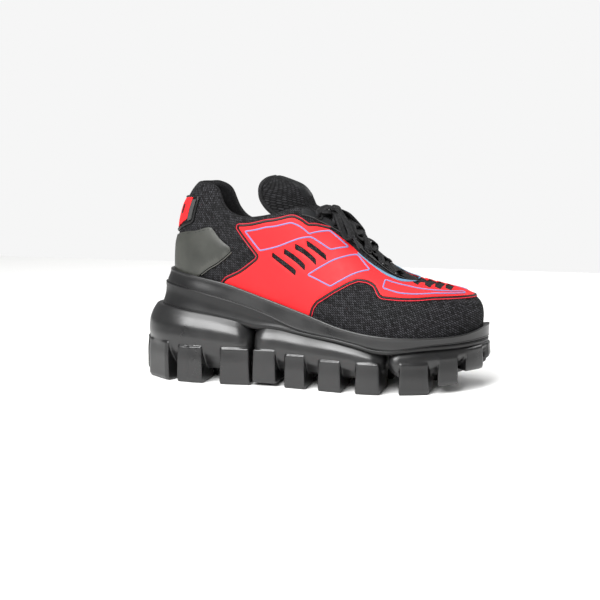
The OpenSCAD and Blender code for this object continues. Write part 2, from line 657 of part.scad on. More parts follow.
// Free loop of the bow on the outer side: leaves the knot, falls over the side, comes back
loop_route = [[168, -8, 146.2], [172, -12, 146.2], [176, -16, 143.5], [180, -19.8, 138.5],
              [183.2, -22.6, 134], [185.5, -25, 130], [186, -26.8, 126.5], [183.5, -28, 124.8],
              [180.8, -28, 128.3], [178, -27, 133.8], [175, -23.8, 140], [171.5, -16, 143.4],
              [168, -8, 142.8]];
// Free end of the lace on the outer side, down to its aglet
end_route = [[168, -7, 149], [172, -10, 149.4], [176, -14, 147.3], [180, -17.8, 142.7],
             [184, -21, 137.9], [187.8, -23.5, 133], [191, -25, 128]];
aglet_l = 14;

module both_sides(route) {
    path = curve(route, 2);
    tube(path, [for (p = path) [0.4, p.y / 30, 1]], lace_w / 2.4, lace_t / 2);
    other = [for (i = [len(path) - 1:-1:0]) mirrored(path[i])];
    tube(other, [for (p = other) [0.4, p.y / 30, 1]], lace_w / 2.4, lace_t / 2);
}

module lace_loops() {
    color("#141516") both_sides(loop_route);
}

module lace_ends() {
    color("#141516") both_sides(end_route);
}

module aglets() {
    tip = end_route[len(end_route) - 1];
    along = unit(tip - end_route[len(end_route) - 2]);
    color("#2e2f31") for (s = [1, -1]) {
        start = [tip.x, tip.y * s, tip.z] + [along.x, along.y * s, along.z] * 0.3;
        finish = start + [along.x * 0.8, along.y * s * 0.35, along.z] * aglet_l;
        tube([start, finish], [[1, 0, 0], [1, 0, 0]], 1.7, 1.3);
    }
}

// ---------- heel tab ----------

tab_u = 1.9;
tab_low = [[0, 0.405], [0.8, 0.44], [1.9, 0.54]];
tab_high = [[0, 0.7], [1.9, 0.76]];
function tab_edge(u, table) = [u, lookup(abs(u), table)];

module heel_tab() {
    color("#e8443f") skin_piece(
        grid(-tab_u, tab_u, 10, function (u) lookup(abs(u), tab_low),
             function (u) lookup(abs(u), tab_high), 4),
        even(seam), even(seam + 1.2));
}

module heel_tab_frame() {
    side = straight([tab_edge(tab_u, tab_low), tab_edge(tab_u, tab_high)], 4);
    top = [for (k = [1:7]) tab_edge(mix(tab_u, -tab_u, k / 8), tab_high)];
    path = concat(side, top, [for (i = [4:-1:0]) [-tab_u, side[i][1]]],
                  [for (k = [1:7]) tab_edge(mix(-tab_u, tab_u, k / 8), tab_low)]);
    color("#19191a") skin_tube(path, seam + 1, 0.9, 1.3, 6, true);
}

// ---------- footbed layers ----------

// Plate that follows the footbed, inset from the feather edge, between two heights over the bed
module bed_plate(u0, u1, steps, inset, low, high, half_w = 200) {
    spot = function (u, w, h) let (
        p = rib_at(u)[0], r = rib_at(all_ribs - u)[0],
        y0 = max(p.y + inset, -half_w), y1 = min(r.y - inset, half_w), x = p.x)
        [x, mix(y0, y1, w), bed(x) + h];
    us = [for (i = [0:steps]) mix(u0, u1, i / steps)];
    slab([for (u = us) [for (w = [1, 0.75, 0.5, 0.25, 0]) spot(u, 1 - w, high)]],
         [for (u = us) [for (w = [1, 0.75, 0.5, 0.25, 0]) spot(u, 1 - w, low)]]);
}

shank_h = 1.4;
board_h = 2;
board_z = shank_h + 2 * layer_gap;
sock_z = board_z + board_h + layer_gap;

module shank_plate() {
    color("#8a8d90") bed_plate(2.5, 8.8, 14, 4, layer_gap, layer_gap + shank_h, 12);
}

module forefoot_filler() {
    color("#a58a5c") bed_plate(9, 13.1, 10, 8, layer_gap, layer_gap + shank_h);
}

module insole_board() {
    color("#c9bfa4") bed_plate(0.95, 13.4, 34, 5.5, board_z, board_z + board_h);
}

module sockliner() {
    color("#1b1c1e") bed_plate(1.3, 13.1, 34, 7.8, sock_z, sock_z + sockliner_t);
}

outsole_heel_pod();
outsole_mid_pod();
outsole_toe_pod();
midsole_wedge();
cupsole_rim();
shank_plate();
forefoot_filler();
insole_board();
sockliner();
knit_quarter();
knit_vamp();
collar_foam();
collar_lining();
vamp_lining();
heel_stiffener();
toe_puff();
heel_panel();
heel_panel_trim();
colour_overlay();
overlay_piping();
accent_lines();
eyestay();
eyelets();
tongue_base();
tongue_flap();
tongue_binding();
tongue_label();
lace_keeper();
lace_rows();
lace_knot();
lace_loops();
lace_ends();
aglets();
heel_tab();
heel_tab_frame();
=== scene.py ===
"""Looks of the platform sneaker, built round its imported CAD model.

Shapes are worked out in the design's own millimetres (x from the heel, y from the middle,
z from the floor) and put in the frame, in metres, by placed().
"""
import math

import bpy
import numpy as np
import openvdb
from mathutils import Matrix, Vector
from mathutils.geometry import delaunay_2d_cdt


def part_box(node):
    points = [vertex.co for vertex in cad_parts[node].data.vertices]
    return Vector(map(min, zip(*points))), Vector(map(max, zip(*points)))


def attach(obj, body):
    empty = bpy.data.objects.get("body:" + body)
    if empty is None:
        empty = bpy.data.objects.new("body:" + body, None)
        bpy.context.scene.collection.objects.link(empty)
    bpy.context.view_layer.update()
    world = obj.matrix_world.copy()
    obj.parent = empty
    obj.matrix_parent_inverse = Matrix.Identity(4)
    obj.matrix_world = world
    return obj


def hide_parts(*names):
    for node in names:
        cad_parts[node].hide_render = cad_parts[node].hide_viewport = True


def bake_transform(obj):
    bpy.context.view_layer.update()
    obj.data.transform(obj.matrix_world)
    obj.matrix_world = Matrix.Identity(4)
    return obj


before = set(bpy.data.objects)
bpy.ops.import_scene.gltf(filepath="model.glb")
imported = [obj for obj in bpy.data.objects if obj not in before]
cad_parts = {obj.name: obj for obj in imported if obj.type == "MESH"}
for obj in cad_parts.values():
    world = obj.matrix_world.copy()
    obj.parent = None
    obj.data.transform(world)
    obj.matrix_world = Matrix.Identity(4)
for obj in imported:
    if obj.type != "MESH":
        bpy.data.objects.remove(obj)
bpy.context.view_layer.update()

# ---------- from the design's millimetres to the frame ----------

SOLE_LENGTH = 300
HEEL_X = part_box("outsole_heel_pod")[0].x
MM = (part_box("outsole_toe_pod")[1].x - HEEL_X) / SOLE_LENGTH
MIDDLE_Y = 2.8 * MM


def placed(points):
    """Design points, in millimetres, as points of the frame, in metres."""
    return np.asarray(points, float) * MM + np.array([HEEL_X, MIDDLE_Y, 0])


# ---------- small helpers for numbers ----------


def mix(a, b, t):
    return a + (b - a) * t


def unit(v):
    return v / np.maximum(np.linalg.norm(v, axis=-1, keepdims=True), 1e-9)


def smooth_step(t):
    t = np.clip(t, 0, 1)
    return t * t * (3 - 2 * t)


def spline(a, b, c, d, t):
    """Catmull-Rom from b to c."""
    return 0.5 * (2 * b + (c - a) * t + (2 * a - 5 * b + 4 * c - d) * t * t
                  + (3 * b - a - 3 * c + d) * t ** 3)


def curve(points, steps, closed=False):
    """Catmull-Rom curve through points, with this many steps in each span."""
    p = np.asarray(points, float)
    n = len(p)
    spans = n if closed else n - 1
    spot = (lambda i: p[i % n]) if closed else (lambda i: p[min(max(i, 0), n - 1)])
    out = [spline(spot(i - 1), spot(i), spot(i + 1), spot(i + 2), k / steps)
           for i in range(spans) for k in range(steps)]
    return np.array(out if closed else out + [p[-1]])


def run_along(points):
    """Distance along a line at each of its points."""
    return np.concatenate([[0], np.cumsum(np.linalg.norm(np.diff(points, axis=0), axis=1))])


def spaced(points, step, closed=False):
    """The same line with points an even distance apart."""
    p = np.asarray(points, float)
    if closed:
        p = np.vstack([p, p[:1]])
    run = run_along(p)
    count = max(3, int(round(run[-1] / step)))
    at = np.linspace(0, run[-1], count + 1)[: count if closed else count + 1]
    return np.stack([np.interp(at, run, p[:, k]) for k in range(p.shape[1])], 1)


class Profile:
    """A table of [distance, value] with its corners softened."""

    def __init__(self, rows, soft=5.0, low=-30, high=330, step=0.5):
        self.x = np.arange(low, high, step)
        raw = np.interp(self.x, *np.transpose(rows))
        reach = int(3 * soft / step)
        weights = np.exp(-0.5 * (np.arange(-reach, reach + 1) * step / soft) ** 2)
        padded = np.pad(raw, reach, mode="edge")
        self.value = np.convolve(padded, weights / weights.sum(), mode="valid")

    def __call__(self, x):
        return np.interp(x, self.x, self.value)


# ---------- the sole's outline and heights, as in the design ----------

HALF_WIDTH = Profile([[0, 74], [20, 72], [60, 57], [100, 44.5], [120, 43], [150, 46], [180, 53.6],
                      [205, 60], [225, 63], [245, 64], [265, 64], [282, 62], [300, 60]])
CENTRE_LINE = Profile([[0, 0], [60, -0.5], [100, -3], [150, -4], [205, -3], [245, -1.5],
                       [265, 0], [282, 1], [290, 4], [300, 8]])
RIM_TOP = Profile([[0, 97.5], [27, 97.5], [45, 93.5], [59, 90], [80, 85], [105, 76.5], [117, 72.7],
                   [156, 61], [180, 53.5], [202, 49.5], [226, 47], [253, 46.5], [279, 47.5],
                   [293, 50.5], [300, 55]])
CREASE = Profile([[0, 84], [28, 81.5], [57, 77], [87, 70], [107, 64], [128, 56.2], [138, 51.8],
                  [152, 48.5], [179, 45.5], [198, 42], [212, 38.5], [226, 37.5], [253, 41.3],
                  [279, 42.5], [300, 44]])
POD_TOP = Profile([[0, 63], [31, 62.7], [47, 60.6], [67, 58], [87, 54.5], [105, 50], [128, 50],
                   [152, 46.6], [179, 43.8], [198, 40.3], [210, 36.8], [221, 36], [250, 39.3],
                   [279, 40.3], [300, 41]], soft=3)
POD_UNDER = Profile([[0, 12], [15, 9], [95, 10], [105, 14], [115, 10], [211, 9], [221, 13],
                     [232, 9], [262, 13], [280, 20], [300, 30]], soft=3)
LUG_UNDER = Profile([[0, 5], [12, 0], [102, 0], [108, 4], [128, 1], [137, 0], [252, 0], [262, 4],
                     [277, 9], [290, 17], [300, 25]], soft=1)
LUG_TOP = Profile([[0, 35], [50, 31], [118, 31], [145, 28], [175, 25.5], [245, 25.5], [270, 30],
                   [290, 36], [300, 38]])
RIM_INSET = Profile([[0, 22], [20, 17], [40, 13], [100, 9], [200, 4.5], [300, 1.5]])
BAND_INSET = Profile([[0, 13.5], [20, 11], [40, 9], [100, 7], [200, 3.5], [300, 1.5]])
BED_DROP = 12
RIM_WALL = 4
# Inset of a pod's side from its lug faces, by share of the pod's height
POD_SECTION = Profile([[0, 21], [0.12, 10], [0.32, 3.6], [0.55, 1.4], [0.75, 2.4], [0.9, 5.5],
                       [1, 9.5]], soft=0.035, low=-0.4, high=1.4, step=0.005)


def bed(x):
    return RIM_TOP(x) - BED_DROP


def ring_point(angle, inset, height):
    """Point of the sole's outline at an angle from the heel, inset and at a height, by x."""
    heel, toe = float(inset(0)), float(inset(SOLE_LENGTH))
    half = (SOLE_LENGTH - heel - toe) / 2
    x = heel + half - half * np.cos(angle)
    y = CENTRE_LINE(x) - (HALF_WIDTH(x) - inset(x)) * np.sin(angle)
    return np.stack([x, y, height(x)], -1)


# ---------- the upper's surface, as in the design ----------

LAST_RIB = 14
ALL_RIBS = 2 * LAST_RIB
# The ribs from the heel's back to the toe: where each foot stands, each head, how far the side
# rises and spreads from the foot, and how much of the way out is kept and fallen under the head
FOOT_X = [27.2, 33, 45, 60, 74, 90, 107, 128, 152, 176, 202, 228, 254, 280, 292.1]
RIB_HEAD = [(50, 0, 170), (53.5, -11, 169.5), (61.5, -18, 168.5), (70.5, -23, 164),
            (77, -26.5, 150), (86, -28.5, 143), (100, -29.5, 140.5), (120, -29.5, 143.5),
            (144, -25, 149.5), (162, -20, 142), (180, -17, 130), (197, -14.5, 113),
            (212, -11, 96.5), (220, -6, 89.5), (223, 0, 87.5)]
RIB_RISE = [34, 34, 32, 28, 22, 20, 20, 22, 26, 26, 23, 26, 31, 37, 37]
RIB_SPREAD = [1] * 3 + [1.2] * 7 + [1.5, 1.5, 2.5, 3.5, 5]
RIB_KEEP = [0.75, 0.8, 0.8, 0.7, 0.45, 0.35, 0.35, 0.35, 0.3, 0.3, 0.32, 0.42, 0.62, 0.92, 1.1]
RIB_FALL = [13, 13, 14, 15, 16, 16, 16, 18, 20, 18, 15, 12, 6, 4.5, 5]
INNER_DROP = [0, 0, 0, 2, 5, 7, 7, 6, 3, 1, 0, 0, 0, 0, 0]
FOOT_INSET = RIM_WALL + 1.9


def foot_of(k, side):
    x = FOOT_X[k]
    if k in (0, LAST_RIB):
        return np.array([x, 0, bed(x) + 0.4])
    heel = RIM_INSET(0) + FOOT_INSET
    half = (SOLE_LENGTH - heel - RIM_INSET(SOLE_LENGTH) - FOOT_INSET) / 2
    reach = math.sqrt(max(0, 1 - ((x - heel - half) / half) ** 2))
    y = CENTRE_LINE(x) + side * (HALF_WIDTH(x) - RIM_INSET(x) - FOOT_INSET) * reach
    return np.array([x, y, bed(x) + 0.4])


def rib_of(k, side):
    foot = foot_of(k, side)
    head = np.array(RIB_HEAD[k], float) * [1, -side, 1] - [0, 0, INNER_DROP[k] * (side > 0)]
    run = foot_of(min(k + 1, LAST_RIB), side) - foot_of(max(k - 1, 0), side)
    out = unit(np.array([-side * run[1], side * run[0], 0]))
    if k in (0, LAST_RIB):
        out = np.array([-1.0 if k == 0 else 1.0, 0, 0])
    flat = (foot - head) * [1, 1, 0]
    return np.array([foot, foot + out * RIB_SPREAD[k] + [0, 0, RIB_RISE[k]],
                     head + flat * RIB_KEEP[k] + out - [0, 0, RIB_FALL[k]], head])


RIBS = np.array([rib_of(k, -1) for k in range(LAST_RIB + 1)]
                + [rib_of(k, 1) for k in range(LAST_RIB - 1, 0, -1)])


def skin_base(u, v):
    u, v = np.broadcast_arrays(np.asarray(u, float), np.asarray(v, float))
    i = np.floor(u).astype(int)
    t = (u - i)[..., None, None]
    r = spline(RIBS[(i - 1) % ALL_RIBS], RIBS[i % ALL_RIBS], RIBS[(i + 1) % ALL_RIBS],
               RIBS[(i + 2) % ALL_RIBS], t)
    v = v[..., None]
    w = 1 - v
    return (r[..., 0, :] * w ** 3 + r[..., 1, :] * 3 * v * w ** 2
            + r[..., 2, :] * 3 * v ** 2 * w + r[..., 3, :] * v ** 3)


def skin_frame(u, v):
    """Direction up the upper, and the direction out of it, at [u, v]."""
    e = 0.004
    v = np.clip(np.asarray(v, float), 2 * e, 1 - 2 * e)
    up = skin_base(u, v + e) - skin_base(u, v - e)
    along = skin_base(np.asarray(u) + e, v) - skin_base(np.asarray(u) - e, v)
    return unit(up), unit(np.cross(along, up))


def skin(u, v, off=0.0):
    """Point of the upper: u counts ribs from the heel's back, v runs from feather to topline."""
    return skin_base(u, v) + skin_frame(u, v)[1] * np.asarray(off, float)[..., None]


# ---------- meshes ----------

SHOE = "shoe"


def in_scene(name, data):
    thing = bpy.data.objects.new(name, data)
    bpy.context.scene.collection.objects.link(thing)
    return thing


def mesh_object(name, points, faces, uv=None):
    """Object of design points and faces; uv holds a place in millimetres for each point."""
    mesh = bpy.data.meshes.new(name)
    mesh.from_pydata([tuple(p) for p in placed(points)], [], [tuple(f) for f in faces])
    if uv is not None:
        layer = mesh.uv_layers.new(name="UVMap")
        corner = np.zeros(len(mesh.loops), int)
        mesh.loops.foreach_get("vertex_index", corner)
        layer.data.foreach_set("uv", np.asarray(uv, float)[corner].ravel())
    mesh.shade_smooth()
    mesh.validate()
    mesh.update()
    return in_scene(name, mesh)


def grid_faces(rows, cols, wrap_rows=False, wrap_cols=False, flip=False):
    i, j = np.meshgrid(np.arange(rows if wrap_rows else rows - 1),
                       np.arange(cols if wrap_cols else cols - 1), indexing="ij")
    i, j = i.ravel(), j.ravel()
    p, q = (i + 1) % rows, (j + 1) % cols
    quads = np.stack([i * cols + j, p * cols + j, p * cols + q, i * cols + q], 1)
    return (quads[:, ::-1] if flip else quads).tolist()


def sheet_uv(points):
    """Place of each grid point in millimetres along the two ways of the grid."""
    down = np.linalg.norm(np.diff(points, axis=0), axis=2).mean(1)
    across = np.linalg.norm(np.diff(points, axis=1), axis=2)
    u = np.concatenate([[0], np.cumsum(down)])
    v = np.concatenate([np.zeros((len(points), 1)), np.cumsum(across, axis=1)], axis=1)
    return np.stack([np.repeat(u[:, None], points.shape[1], 1), v], -1).reshape(-1, 2)


def sheet_object(name, points, wrap_rows=False, flip=False):
    """Sheet through a grid of points, rows by columns."""
    rows, cols = points.shape[:2]
    return mesh_object(name, points.reshape(-1, 3), grid_faces(rows, cols, wrap_rows, flip=flip),
                       sheet_uv(points))


def tube_object(name, points, ups, wide, thick, sides=12, closed=False):
    """Tube of oval section; ups is the direction of its thickness at each point."""
    points, ups = np.asarray(points, float), np.asarray(ups, float)
    count = len(points)
    if closed:
        along = unit(np.roll(points, -1, 0) - np.roll(points, 1, 0))
    else:
        along = unit(np.gradient(points, axis=0))
    across = unit(np.cross(along, ups))
    up = np.cross(across, along)
    wide = np.broadcast_to(np.asarray(wide, float), count)[:, None, None]
    thick = np.broadcast_to(np.asarray(thick, float), count)[:, None, None]
    angle = np.linspace(0, 2 * np.pi, sides, endpoint=False)[None, :, None]
    rings = (points[:, None] + up[:, None] * thick * np.cos(angle)
             + across[:, None] * wide * np.sin(angle))
    faces = grid_faces(count, sides, closed, True)
    if not closed:
        faces += [list(range(sides)), [(count - 1) * sides + k for k in range(sides)][::-1]]
    run = run_along(points)
    round_about = np.pi * (wide.mean() + thick.mean()) * angle.ravel() / (2 * np.pi)
    uv = np.stack(np.meshgrid(run, round_about, indexing="ij"), -1).reshape(-1, 2)
    return mesh_object(name, rings.reshape(-1, 3), faces, uv)


def joined(name, parts):
    """One object from several."""
    bpy.ops.object.select_all(action="DESELECT")
    for part in parts:
        part.select_set(True)
    bpy.context.view_layer.objects.active = parts[0]
    bpy.ops.object.join()
    parts[0].name = name
    return parts[0]


def add_modifier(thing, kind, **settings):
    made = thing.modifiers.new(kind.title(), kind)
    for key, value in settings.items():
        setattr(made, key, value)
    return thing


def thickened(thing, thickness, offset=-1):
    return add_modifier(thing, "SOLIDIFY", thickness=thickness * MM, offset=offset)


def bevelled(thing, width, segments=2):
    return add_modifier(thing, "BEVEL", width=width * MM, segments=segments,
                        limit_method="ANGLE", angle_limit=math.radians(40))


def dress(thing, material, slot, *stands_for, body=SHOE):
    """Gives a piece its material and its body, and hides the CAD nodes it stands for; slot is not
    used.
    """
    thing.data.materials.clear()
    thing.data.materials.append(material)
    if body:
        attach(thing, body)
    if stands_for:
        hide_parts(*stands_for)
    return thing


# ---------- materials ----------


def rgb(red, green, blue):
    """Colour for the shader from the 0 to 255 values of a screen."""
    def linear(c):
        c /= 255
        return c / 12.92 if c <= 0.04045 else ((c + 0.055) / 1.055) ** 2.4
    return (linear(red), linear(green), linear(blue), 1)


class Look:
    """A material in the making: its shader, and short ways to add nodes to it."""

    def __init__(self, name, colour, roughness, **inputs):
        self.material = bpy.data.materials.new(name)
        self.material.use_nodes = True
        self.nodes = self.material.node_tree.nodes
        self.links = self.material.node_tree.links
        self.shader = self.nodes["Principled BSDF"]
        self.bumps = None
        self.fill(self.shader, Base_Color=colour, Roughness=roughness, **inputs)

    def fill(self, node, **inputs):
        """Gives a node's inputs their values, or links them."""
        for key, value in inputs.items():
            self.feed(node.inputs[key.replace("_", " ")], value)
        return node

    def node(self, kind, **inputs):
        return self.fill(self.nodes.new(kind), **inputs)

    def feed(self, socket, value):
        if isinstance(value, bpy.types.NodeSocket):
            self.links.new(value, socket)
        else:
            socket.default_value = value

    def place(self, scale=(1, 1, 1), turn=0.0, by_uv=False):
        """Coordinates in millimetres, scaled and turned."""
        texture = self.node("ShaderNodeTexCoord")
        mapping = self.node("ShaderNodeMapping")
        self.links.new(texture.outputs["UV" if by_uv else "Object"], mapping.inputs["Vector"])
        size = 1 if by_uv else 1 / MM
        mapping.inputs["Scale"].default_value = [s * size for s in scale]
        mapping.inputs["Rotation"].default_value = (0, 0, turn)
        return mapping.outputs["Vector"]

    def noise(self, size, detail=3.0, stretch=(1, 1, 1), by_uv=False):
        """Noise whose blobs are about size millimetres across."""
        where = self.place([s / size for s in stretch], by_uv=by_uv)
        return self.node("ShaderNodeTexNoise", Vector=where, Scale=1.0, Detail=detail).outputs["Fac"]

    def bricks(self, first, second, width, height, turn, gap, soft, dark):
        """Rows of two-coloured bricks, in millimetres of the surface, with dark gaps."""
        where = self.place(turn=turn, by_uv=True)
        return self.node("ShaderNodeTexBrick", Vector=where, Scale=1.0, Mortar_Size=gap,
                         Mortar_Smooth=soft, Bias=0.0, Brick_Width=width, Row_Height=height,
                         Color1=first, Color2=second, Mortar=dark)

    def range(self, value, low, high, to_low, to_high):
        made = self.node("ShaderNodeMapRange", Value=value, From_Min=low, From_Max=high,
                         To_Min=to_low, To_Max=to_high)
        return made.outputs["Result"]

    def mixed(self, share, first, second):
        made = self.nodes.new("ShaderNodeMix")
        made.data_type = "RGBA"
        self.feed(made.inputs[0], share)
        self.feed(made.inputs[6], first)
        self.feed(made.inputs[7], second)
        return made.outputs[2]

    def bump(self, height, depth, strength=1.0):
        """Relief of a depth in millimetres, on top of what is there already."""
        made = self.node("ShaderNodeBump", Strength=strength, Distance=depth * MM, Height=height)
        if self.bumps:
            self.links.new(self.bumps, made.inputs["Normal"])
        self.bumps = made.outputs["Normal"]
        self.links.new(self.bumps, self.shader.inputs["Normal"])

    def colour(self, value):
        self.feed(self.shader.inputs["Base Color"], value)

    def rough(self, value):
        self.feed(self.shader.inputs["Roughness"], value)

    def worn_edges(self, light):
        """Share of edge wear, where the surface is sharply convex."""
        sharp = self.node("ShaderNodeNewGeometry").outputs["Pointiness"]
        return self.range(sharp, 0.53, 0.62, 0.0, light)


def moulded_look(name, dark, light, roughness, grain=0.5, wear=0.5, specular=0.35):
    """Moulded rubber or foam: fine grain, broad mottling, scuffed edges."""
    look = Look(name, dark, roughness, Specular_IOR_Level=specular)
    mottle = look.noise(28, 4)
    fine = look.noise(grain, 2)
    base = look.mixed(look.range(mottle, 0.35, 0.7, 0.0, 0.5), dark, light)
    look.colour(look.mixed(look.worn_edges(wear), base, light))
    look.rough(look.range(mottle, 0.3, 0.7, roughness - 0.05, roughness + 0.08))
    look.bump(fine, 0.05, 0.5)
    look.bump(mottle, 0.3, 0.15)
    return look.material


def knit_look(name, dark, light, width, height, turn, depth=0.5):
    """Knit whose stitches are bricks of pale and dark thread with black gaps between them."""
    look = Look(name, dark, 0.8, Specular_IOR_Level=0.2)
    stitch = look.bricks(dark, light, width, height, turn, height * 0.24, 0.7, rgb(3, 3, 4))
    wear = look.range(look.noise(40, 2, by_uv=True), 0.3, 0.7, 0.8, 1.0)
    look.colour(look.mixed(wear, rgb(8, 8, 9), stitch.outputs["Color"]))
    look.rough(look.range(stitch.outputs["Fac"], 0, 1, 0.7, 0.95))
    look.bump(stitch.outputs["Fac"], -depth)
    return look.material


def film_look(name, colour, deep, roughness=0.42):
    """Smooth bonded film over a faint grain, a little darker in places."""
    look = Look(name, colour, roughness, Specular_IOR_Level=0.2)
    broad = look.noise(35, 3)
    base = look.mixed(look.range(broad, 0.35, 0.7, 0.0, 0.35), colour, deep)
    fine = look.noise(0.9, 2)
    look.colour(look.mixed(look.range(fine, 0.4, 0.75, 0.0, 0.15), base, deep))
    look.rough(look.range(look.noise(5, 2), 0.3, 0.7, roughness - 0.04, roughness + 0.06))
    look.bump(fine, 0.05, 0.4)
    return look.material


def thread_look(name, dark, light, pitch, roughness=0.7):
    """Braid or binding: diagonal threads along its length."""
    look = Look(name, dark, roughness, Specular_IOR_Level=0.25)
    braid = look.bricks(dark, light, pitch * 1.8, pitch * 0.8, math.radians(45), pitch * 0.12, 0.6,
                        rgb(5, 5, 6))
    look.colour(braid.outputs["Color"])
    look.bump(braid.outputs["Fac"], -0.35)
    return look.material


SOLE = moulded_look("sole_rubber", rgb(15, 15, 16), rgb(30, 30, 30), 0.31, 0.9, 0.25, 0.6)
WEDGE = moulded_look("midsole_foam", rgb(15, 15, 16), rgb(30, 30, 30), 0.38, 0.8, 0.3)
HEEL = moulded_look("heel_rubber", rgb(44, 45, 42), rgb(70, 71, 66), 0.4, 0.7, 0.4)
TRIM = moulded_look("trim_rubber", rgb(9, 9, 10), rgb(30, 30, 30), 0.4, 0.7, 0.3)
# Pale rubber of the heel panel's ridge: a painted highlight along the panel's lower edge
RIDGE_PAINTED_HIGHLIGHT = moulded_look("ridge_rubber_painted_highlight", rgb(74, 74, 70), rgb(110, 110, 104), 0.4, 0.7, 0.3)
KNIT = knit_look("knit", rgb(10, 10, 11), rgb(54, 54, 57), 2.4, 1.6, math.radians(38), 0.45)
TONGUE_KNIT = knit_look("tongue_knit", rgb(9, 9, 10), rgb(38, 38, 40), 2.0, 1.4,
                        math.radians(42), 0.4)
LINING = knit_look("lining", rgb(12, 12, 13), rgb(28, 28, 30), 1.2, 0.9, 0.3, 0.15)
SOCK = knit_look("sockliner_textile", rgb(22, 23, 25), rgb(44, 45, 48), 1.3, 1.3, 0.0, 0.2)
RED = film_look("red_film", rgb(206, 34, 38), rgb(186, 22, 29), 0.5)
RED_LINE = film_look("red_line", rgb(200, 48, 60), rgb(160, 26, 36))
LILAC = film_look("accent", rgb(122, 116, 160), rgb(96, 108, 152), 0.5)
PALE_BLUE = film_look("pale_blue", rgb(94, 128, 152), rgb(78, 110, 138), 0.5)
STAY = film_look("eyestay_film", rgb(18, 19, 21), rgb(12, 13, 14), 0.5)
GREY_STRIP = film_look("grey_strip", rgb(60, 60, 60), rgb(44, 44, 44), 0.5)
LABEL = film_look("label_rubber", rgb(22, 23, 24), rgb(15, 15, 16), 0.45)
BLACK = moulded_look("hard_black", rgb(10, 10, 11), rgb(28, 28, 28), 0.35, 0.6, 0.3)
LACE = thread_look("lace", rgb(11, 11, 12), rgb(30, 30, 32), 1.3)
BINDING = thread_look("binding", rgb(14, 14, 15), rgb(32, 32, 34), 0.9)
AGLET = film_look("aglet", rgb(40, 41, 43), rgb(26, 27, 28), 0.3)
BOARD = moulded_look("board", rgb(190, 178, 150), rgb(214, 204, 180), 0.8, 1.2, 0.2)
CORK = moulded_look("filler_cork", rgb(150, 120, 78), rgb(190, 160, 112), 0.85, 1.6, 0.2)
STIFFENER = moulded_look("stiffener", rgb(104, 102, 94), rgb(130, 128, 120), 0.6, 0.9, 0.2)


def steel_look():
    look = Look("shank", rgb(150, 152, 156), 0.35, Metallic=1.0)
    brushed = look.noise(0.6, 3, (0.05, 1, 1))
    look.colour(look.mixed(brushed, rgb(120, 122, 126), rgb(176, 178, 182)))
    look.rough(look.range(brushed, 0.3, 0.7, 0.28, 0.45))
    look.bump(brushed, 0.03)
    return look.material


SHANK = steel_look()

# ---------- camera, floor and light ----------

LOOK_AT = Vector((-0.0118, -0.0033, 0.0684))
EYE = Vector((0.2456, -1.0610, 0.2291))
LENS = 77.2
FLOOR_REACH = 0.8
# What the panels of light face
LIT = Vector((0, 0, 0.07))


def make_camera():
    data = bpy.data.cameras.new("camera")
    data.sensor_width = 36
    data.lens = LENS
    camera = in_scene("camera", data)
    camera.location = EYE
    camera.rotation_mode = "QUATERNION"
    camera.rotation_quaternion = (LOOK_AT - EYE).to_track_quat("-Z", "Y")
    bpy.context.scene.camera = camera


def make_floor():
    """Pale floor under the shoe."""
    look = Look("floor", rgb(244, 244, 243), 0.6)
    look.colour(look.mixed(look.noise(400, 2), rgb(243, 243, 242), rgb(247, 247, 246)))
    mesh = bpy.data.meshes.new("floor")
    corners = [(x * FLOOR_REACH, y * FLOOR_REACH, 0) for x, y in ((-1, -1), (1, -1), (1, 1), (-1, 1))]
    mesh.from_pydata(corners, [], [(0, 1, 2, 3)])
    mesh.materials.append(look.material)
    in_scene("floor", mesh)


def add_light(name, position, size, power):
    """Panel of light that faces the shoe."""
    data = bpy.data.lights.new(name, "AREA")
    data.shape = "RECTANGLE"
    data.size, data.size_y = size
    data.energy = power
    light = in_scene(name, data)
    light.location = position
    light.rotation_euler = (LIT - Vector(position)).to_track_quat("-Z", "Y").to_euler()


def make_light():
    """Dim surroundings that still look white to the camera, a soft sun, and three panels."""
    world = bpy.data.worlds.new("studio")
    world.use_nodes = True
    nodes, links = world.node_tree.nodes, world.node_tree.links
    dim = nodes["Background"]
    dim.inputs["Color"].default_value = (1, 1, 1, 1)
    dim.inputs["Strength"].default_value = 0.3
    white = nodes.new("ShaderNodeBackground")
    white.inputs["Color"].default_value = rgb(246, 246, 246)
    chosen = nodes.new("ShaderNodeMixShader")
    links.new(nodes.new("ShaderNodeLightPath").outputs["Is Camera Ray"], chosen.inputs["Fac"])
    links.new(dim.outputs["Background"], chosen.inputs[1])
    links.new(white.outputs["Background"], chosen.inputs[2])
    links.new(chosen.outputs["Shader"], nodes["World Output"].inputs["Surface"])
    bpy.context.scene.world = world
    data = bpy.data.lights.new("sun", "SUN")
    data.energy = 1.4
    data.angle = math.radians(30)
    in_scene("sun", data).rotation_euler = (math.radians(28), 0, math.radians(-25))
    add_light("key", (-0.3, -0.88, 0.72), (0.85, 0.5), 20)
    add_light("top", (0.1, -0.1, 1.1), (0.7, 0.4), 6)
    add_light("rim", (0.7, 0.7, 0.7), (0.5, 0.5), 4)


make_camera()
make_floor()
make_light()
bpy.context.scene.view_settings.view_transform = "Standard"

# ---------- laces: the free loops and ends are cords ----------

LACE_W = 6.4
LACE_T = 1.8
LOOP_ROUTE = [(168, -8, 146.2), (172, -12, 146.2), (176, -16, 143.5), (180, -19.8, 138.5),
              (183.2, -22.6, 134), (185.5, -25, 130), (186, -26.8, 126.5), (183.5, -28, 124.8),
              (180.8, -28, 128.3), (178, -27, 133.8), (175, -23.8, 140), (171.5, -16, 143.4),
              (168, -8, 142.8)]
END_ROUTE = [(168, -7, 147), (171, -9.5, 147.2), (174.5, -13, 144.5), (177.5, -16.5, 140.5),
             (180.5, -19.5, 136.5), (184, -22.3, 131.5), (187.5, -24.5, 126.5)]
AGLET_L = 14
FREE_W = LACE_W / 1.2
SIDES = {"outer": 1, "inner": -1}
